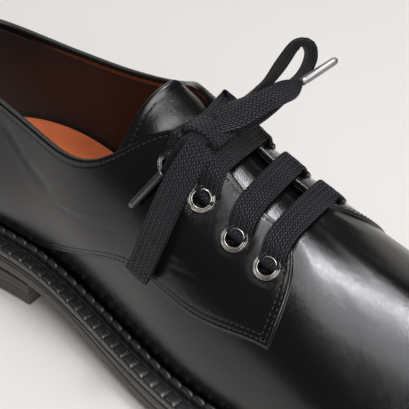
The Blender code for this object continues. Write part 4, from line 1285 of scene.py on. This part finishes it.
# %% Welt stitches
where = np.linspace(0.0, 1.0, 2400)
line, _ = outline(where, 0.0040)
line = np.column_stack([line, seat(line[:, 0]) + GAP + WELT_THICKNESS + 0.55 * PAD_RISE])
up = np.tile((0.0, 0.0, 1.0), (len(line), 1))
length = np.linalg.norm(np.diff(line, axis=0), axis=1).sum()
points, faces = capsules(line, up, length / BEADS, (0.0050, 0.0009, 0.00050), shift=-0.42)
add_piece("welt_stitches", points, faces, thread)

# %% [markdown]
# ## Sole, heel and insole
#
# Flat pieces on the outline are made of loops round their sides and of a sheet across. Point i on the
# outer side faces point -i on the inner side, so straight lines between such pairs fill the loop.


# %% Plates on the outline
def filled(loop, across):
    """Sheet across a closed loop whose point i faces point -i."""
    half = len(loop) // 2
    outer_side = loop[:half + 1]
    inner_side = np.roll(loop[::-1], 1, axis=0)[:half + 1]
    share = np.linspace(0.0, 1.0, across)[None, :, None]
    grid = outer_side[:, None] * (1.0 - share) + inner_side[:, None] * share
    return grid, grid_faces(half + 1, across)


def plate(loops, below=13, above=25):
    """Side loops closed by a sheet below and a sheet above, each with so many points across."""
    grid = np.array(loops)
    sheets = [filled(grid[0], below), filled(grid[-1], above)]
    return joined([(grid, grid_faces(*grid.shape[:2], True))] + sheets)


def loop_at(columns, inset, height):
    line, _ = outline(columns, inset)
    return np.column_stack([line, height(line[:, 0])])


# %% Outsole
columns = np.arange(480) / 480.0
SIDE = [
    (0.0030, 0.0), (0.0018, 0.00015), (0.0008, 0.0006), (0.0002, 0.0012), (0.0, 0.0020), (0.0, 0.0036),
    (0.0, 0.0050), (0.0002, 0.0054), (0.0006, 0.0058), (0.0002, 0.0062), (0.0, 0.0066),
]
loops = [loop_at(columns, inset, lambda x, up=up: underside(x) + up) for inset, up in SIDE]
loops.append(loop_at(columns, 0.0, lambda x: seat(x) - 0.0006))
loops.append(loop_at(columns, 0.0004, lambda x: seat(x)))
points, faces = plate(loops)
add_piece("sole", points, faces, edge_finish, ["outsole"])


# %% Heel
def heel_outline(inset):
    """The sole's outline behind the breast, inset, and the straight breast itself, as one loop."""
    share = np.interp(HEEL_LENGTH, [s.along * LENGTH for s in OUTLINE], KNOTS[:len(OUTLINE)])
    half = np.linspace(0.0, share, 81)
    line, _ = outline(np.concatenate([half, 1.0 - half[:0:-1]]), inset)
    line[:, 0] = np.minimum(line[:, 0], HEEL_LENGTH - inset)
    return line


HEEL_SIDE = [
    (0.0016, 0.0), (0.0008, 0.0003), (0.0002, 0.0009), (0.0, 0.0016), (0.0, TOP_LIFT - 0.0004),
    (0.0003, TOP_LIFT), (0.0, TOP_LIFT + 0.0004), (0.0, TOP_LIFT + 0.0030), (0.00015, TOP_LIFT + 0.0032),
    (0.0, TOP_LIFT + 0.0034),
]
loops = []
for inset, up in HEEL_SIDE:
    line = heel_outline(HEEL_INSET + inset)
    loops.append(np.column_stack([line, np.full(len(line), up)]))
line = heel_outline(HEEL_INSET)
loops.append(np.column_stack([line, underside(line[:, 0]) - GAP]))
points, faces = plate(loops, 9, 9)
add_piece("heel_block", points, faces, edge_finish, ["heel"])


# %% Insole
def insole_parts():
    """Cupped sheet: loops from the foot of the edge over its lip, then down to the flat middle."""
    inset = WELT_WIDTH + UPPER_WALL + 2.0 * GAP
    along = outline(columns, inset)[0][:, 0]
    top = lambda x: seat(x) + INSOLE_AT_HEEL + (INSOLE_AT_BALL - INSOLE_AT_HEEL) * smooth_step(
        x, 0.25 * LENGTH, 0.55 * LENGTH)
    cupped = lambda x: 1.0 - smooth_step(x, 0.15 * LENGTH, 0.42 * LENGTH)
    lip = lambda x: top(x) + INSOLE_CUP * (0.2 + 0.8 * cupped(x))
    spread = inset - INSOLE_SPREAD * cupped(along)
    loops = [
        loop_at(columns, inset, lambda x: seat(x) + GAP),
        loop_at(columns, inset, lambda x: lip(x) - 0.006 * cupped(x) - 0.001),
        loop_at(columns, spread, lambda x: lip(x) - 0.001),
        loop_at(columns, spread + 0.0003, lambda x: lip(x) - 0.0002),
        loop_at(columns, spread + 0.001, lip),
    ]
    for k in range(1, 9):
        s = k / 8.0
        fallen = math.sin(0.5 * math.pi * s)
        at = (spread + 0.001) * (1.0 - s) + (inset + 0.007) * s
        loops.append(loop_at(columns, at, lambda x, f=fallen: lip(x) + (top(x) - lip(x)) * f))
    return loops


points, faces = plate(insole_parts())
add_piece("sock", points, faces, sock, ["insole"])

# %% [markdown]
# ## Tongue
#
# The tongue is a padded leather plate that curves over the instep. A spline runs through its rows, and
# its thickness falls off round the edge as a quarter circle does.

# %% Tongue table
TongueRow = namedtuple(
    "TongueRow", "along height outer inner outer_drop inner_drop outer_sweep inner_sweep roll")
TONGUE = [
    TongueRow(0.612, 0.865, 0.100, 0.100, 0.030, 0.030, 0.000, 0.000, 1.8),
    TongueRow(0.570, 0.965, 0.190, 0.190, 0.115, 0.115, 0.000, 0.000, 1.8),
    TongueRow(0.520, 1.075, 0.225, 0.225, 0.225, 0.225, 0.000, 0.000, 1.8),
    TongueRow(0.474, 1.175, 0.250, 0.240, 0.330, 0.320, 0.002, 0.002, 1.8),
    TongueRow(0.434, 1.270, 0.250, 0.190, 0.380, 0.285, 0.006, 0.003, 1.9),
    TongueRow(0.410, 1.360, 0.240, 0.115, 0.375, 0.215, 0.014, 0.000, 2.2),
    TongueRow(0.397, 1.420, 0.222, 0.070, 0.335, 0.200, 0.023, -0.006, 2.4),
]
SWEEP_POWER = 1.5
PADDING = 0.0006
TONGUE_ROW = 0.0030
print("tongue rows:", len(TONGUE))


# %% Tongue
def eased(count, crowd):
    """Numbers from -1 to 1 that crowd towards both ends."""
    even = np.linspace(-1.0, 1.0, count)
    return (1.0 - crowd) * even + crowd * np.sin(0.5 * np.pi * even)


def tongue_middle(down, across):
    """Points of the tongue's top face at row numbers down and shares across."""
    table = np.array([tuple(row) for row in TONGUE])
    steps = np.arange(len(table), dtype=float)
    ghost = np.vstack([2 * table[0] - table[1], table, 2 * table[-1] - table[-2]])
    k = np.clip(np.floor(down).astype(int), 0, len(steps) - 2)
    t = (down - k)[:, None]
    row = catmull_rom(*[ghost[k + n] for n in range(4)], t)
    w = across[None]
    width = np.where(w < 0.0, row[:, 2:3], row[:, 3:4]) * BALL_WIDTH
    drop = np.where(w < 0.0, row[:, 4:5], row[:, 5:6]) * INSTEP_HEIGHT
    sweep = np.where(w < 0.0, row[:, 6:7], row[:, 7:8])
    x = (row[:, :1] - sweep * np.abs(w) ** SWEEP_POWER) * LENGTH
    height = seat(row[:, :1] * LENGTH) + row[:, 1:2] * INSTEP_HEIGHT
    return np.stack([x, w * width, height - drop * np.abs(w) ** row[:, 8:9]], axis=-1)


down = (eased(110, 0.8) + 1.0) / 2.0 * (len(TONGUE) - 1)
across = eased(91, 0.8)
middle = tongue_middle(down, across)
by_row, by_column = np.gradient(middle, axis=(0, 1))
normal = np.cross(by_column, by_row)
normal /= np.linalg.norm(normal, axis=2)[:, :, None]
normal *= np.sign(normal[:, :, 2:3].mean())


def edge_distance(points):
    """Distance of each grid point from the plate's border, measured along its row and its column."""
    steps = lambda axis: np.linalg.norm(np.diff(points, axis=axis), axis=2)
    over = np.concatenate([np.zeros((len(points), 1)), np.cumsum(steps(1), axis=1)], axis=1)
    along = np.concatenate([np.zeros((1, points.shape[1])), np.cumsum(steps(0), axis=0)], axis=0)
    return np.minimum(np.minimum(over, over[:, -1:] - over), np.minimum(along, along[-1:] - along))


border = edge_distance(middle)
half = TONGUE_THICKNESS / 2.0
fat = np.sqrt(np.clip(1.0 - (1.0 - np.clip(border / half, 0.0, 1.0)) ** 2, 0.0, 1.0))[..., None] * half
furrow = FURROW_DEPTH * bell(border - TONGUE_ROW, FURROW_WIDTH)[..., None]
pad = PADDING * smooth_step(border, TONGUE_ROW, 0.012)[..., None]
core = middle - normal * half
upper_face = core + normal * (fat - furrow + pad)
lower_face = core - normal * fat
quads = grid_faces(*middle.shape[:2])
points, faces = joined([(upper_face, quads), (lower_face, quads)])
add_piece("tongue_leather", points, faces, tongue_calf, ["tongue"])


# %% Tongue's stitches
def border_line(inset):
    """Line on the upper face, inset from its sides and its top border."""
    sides = []
    for column_order in (slice(None), slice(None, None, -1)):
        over = np.array([length_walked(row) for row in upper_face[:, column_order]])
        pick = np.argmax(over > inset, axis=1)
        rows = np.arange(len(middle))
        sides.append((upper_face[:, column_order][rows, pick], normal[:, column_order][rows, pick]))
    keep = [np.linalg.norm(side - side[-1], axis=1) > inset for side, _ in sides]
    along = length_walked(upper_face[::-1, upper_face.shape[1] // 2])
    top = len(middle) - 1 - int(np.argmax(along > inset))
    inside = border[top] >= inset * 0.98
    line = np.concatenate([sides[0][0][keep[0]], upper_face[top][inside], sides[1][0][keep[1]][::-1]])
    up = np.concatenate([sides[0][1][keep[0]], normal[top][inside], sides[1][1][keep[1]][::-1]])
    return line, up


line, up = border_line(TONGUE_ROW)
points, faces = capsules(line, up, STITCH_PITCH, STITCH_SIZE)
add_piece("tongue_stitches", points, faces, thread)

# %% [markdown]
# ## Floor and light
#
# The photograph has a pale, warm floor and broad soft light. Black leather shows the lights' shapes as
# highlights, so their places and sizes matter more than their strength: a softbox overhead draws the broad
# gleam on the vamp, a small lamp its brightest spot, and a panel before the toe the gleam on the tongue. A
# fill and a pale wall behind the shoe light the floor and the far edges.

# %% Floor
floor_finish = Finish("pale floor").done(Base_Color=(0.60, 0.58, 0.55), Roughness=0.75)
mesh = bpy.data.meshes.new("floor")
mesh.from_pydata([(-6, -6, 0), (6, -6, 0), (6, 6, 0), (-6, 6, 0)], [], [(0, 1, 2, 3)])
mesh.materials.append(floor_finish)
floor = bpy.data.objects.new("floor", mesh)
bpy.context.scene.collection.objects.link(floor)
print("floor:", floor.name)

# %% Lights
Light = namedtuple("Light", "name place target width height power colour")
LIGHTS = [
    Light("softbox", (0.35, -0.08, 1.75), (0.35, -0.08, 0.0), 1.0, 1.6, 20.0, (0.955, 0.965, 1.0)),
    Light("small lamp", (0.36, 0.20, 1.60), (0.03, -0.01, 0.07), 0.30, 0.30, 10.0, (0.96, 0.97, 1.0)),
    Light("front panel", (1.15, -0.55, 1.05), (0.0, 0.0, 0.09), 1.5, 0.7, 21.0, (0.96, 0.97, 1.0)),
    Light("fill from behind", (-0.9, 0.8, 1.8), (0.0, 0.0, 0.0), 1.4, 1.4, 7.0, (1.0, 0.99, 0.97)),
    Light("pale wall", (-1.1, 1.6, 0.45), (0.0, 0.0, 0.1), 3.2, 0.9, 6.0, (1.0, 0.97, 0.92)),
]
for light in LIGHTS:
    data = bpy.data.lights.new(light.name, "AREA")
    data.shape = "RECTANGLE"
    data.size, data.size_y = light.width, light.height
    data.energy = light.power
    data.color = light.colour
    lamp = bpy.data.objects.new(light.name, data)
    lamp.location = light.place
    aim = Vector(light.target) - Vector(light.place)
    lamp.rotation_euler = aim.to_track_quat("-Z", "Y").to_euler()
    bpy.context.scene.collection.objects.link(lamp)

world = bpy.data.worlds.new("studio")
bpy.context.scene.world = world
world.use_nodes = True
surroundings = world.node_tree.nodes["Background"]
surroundings.inputs["Color"].default_value = (1.0, 0.985, 0.96, 1.0)
surroundings.inputs["Strength"].default_value = 0.07
bpy.context.scene.view_settings.view_transform = "Standard"
print("lights:", len(LIGHTS))
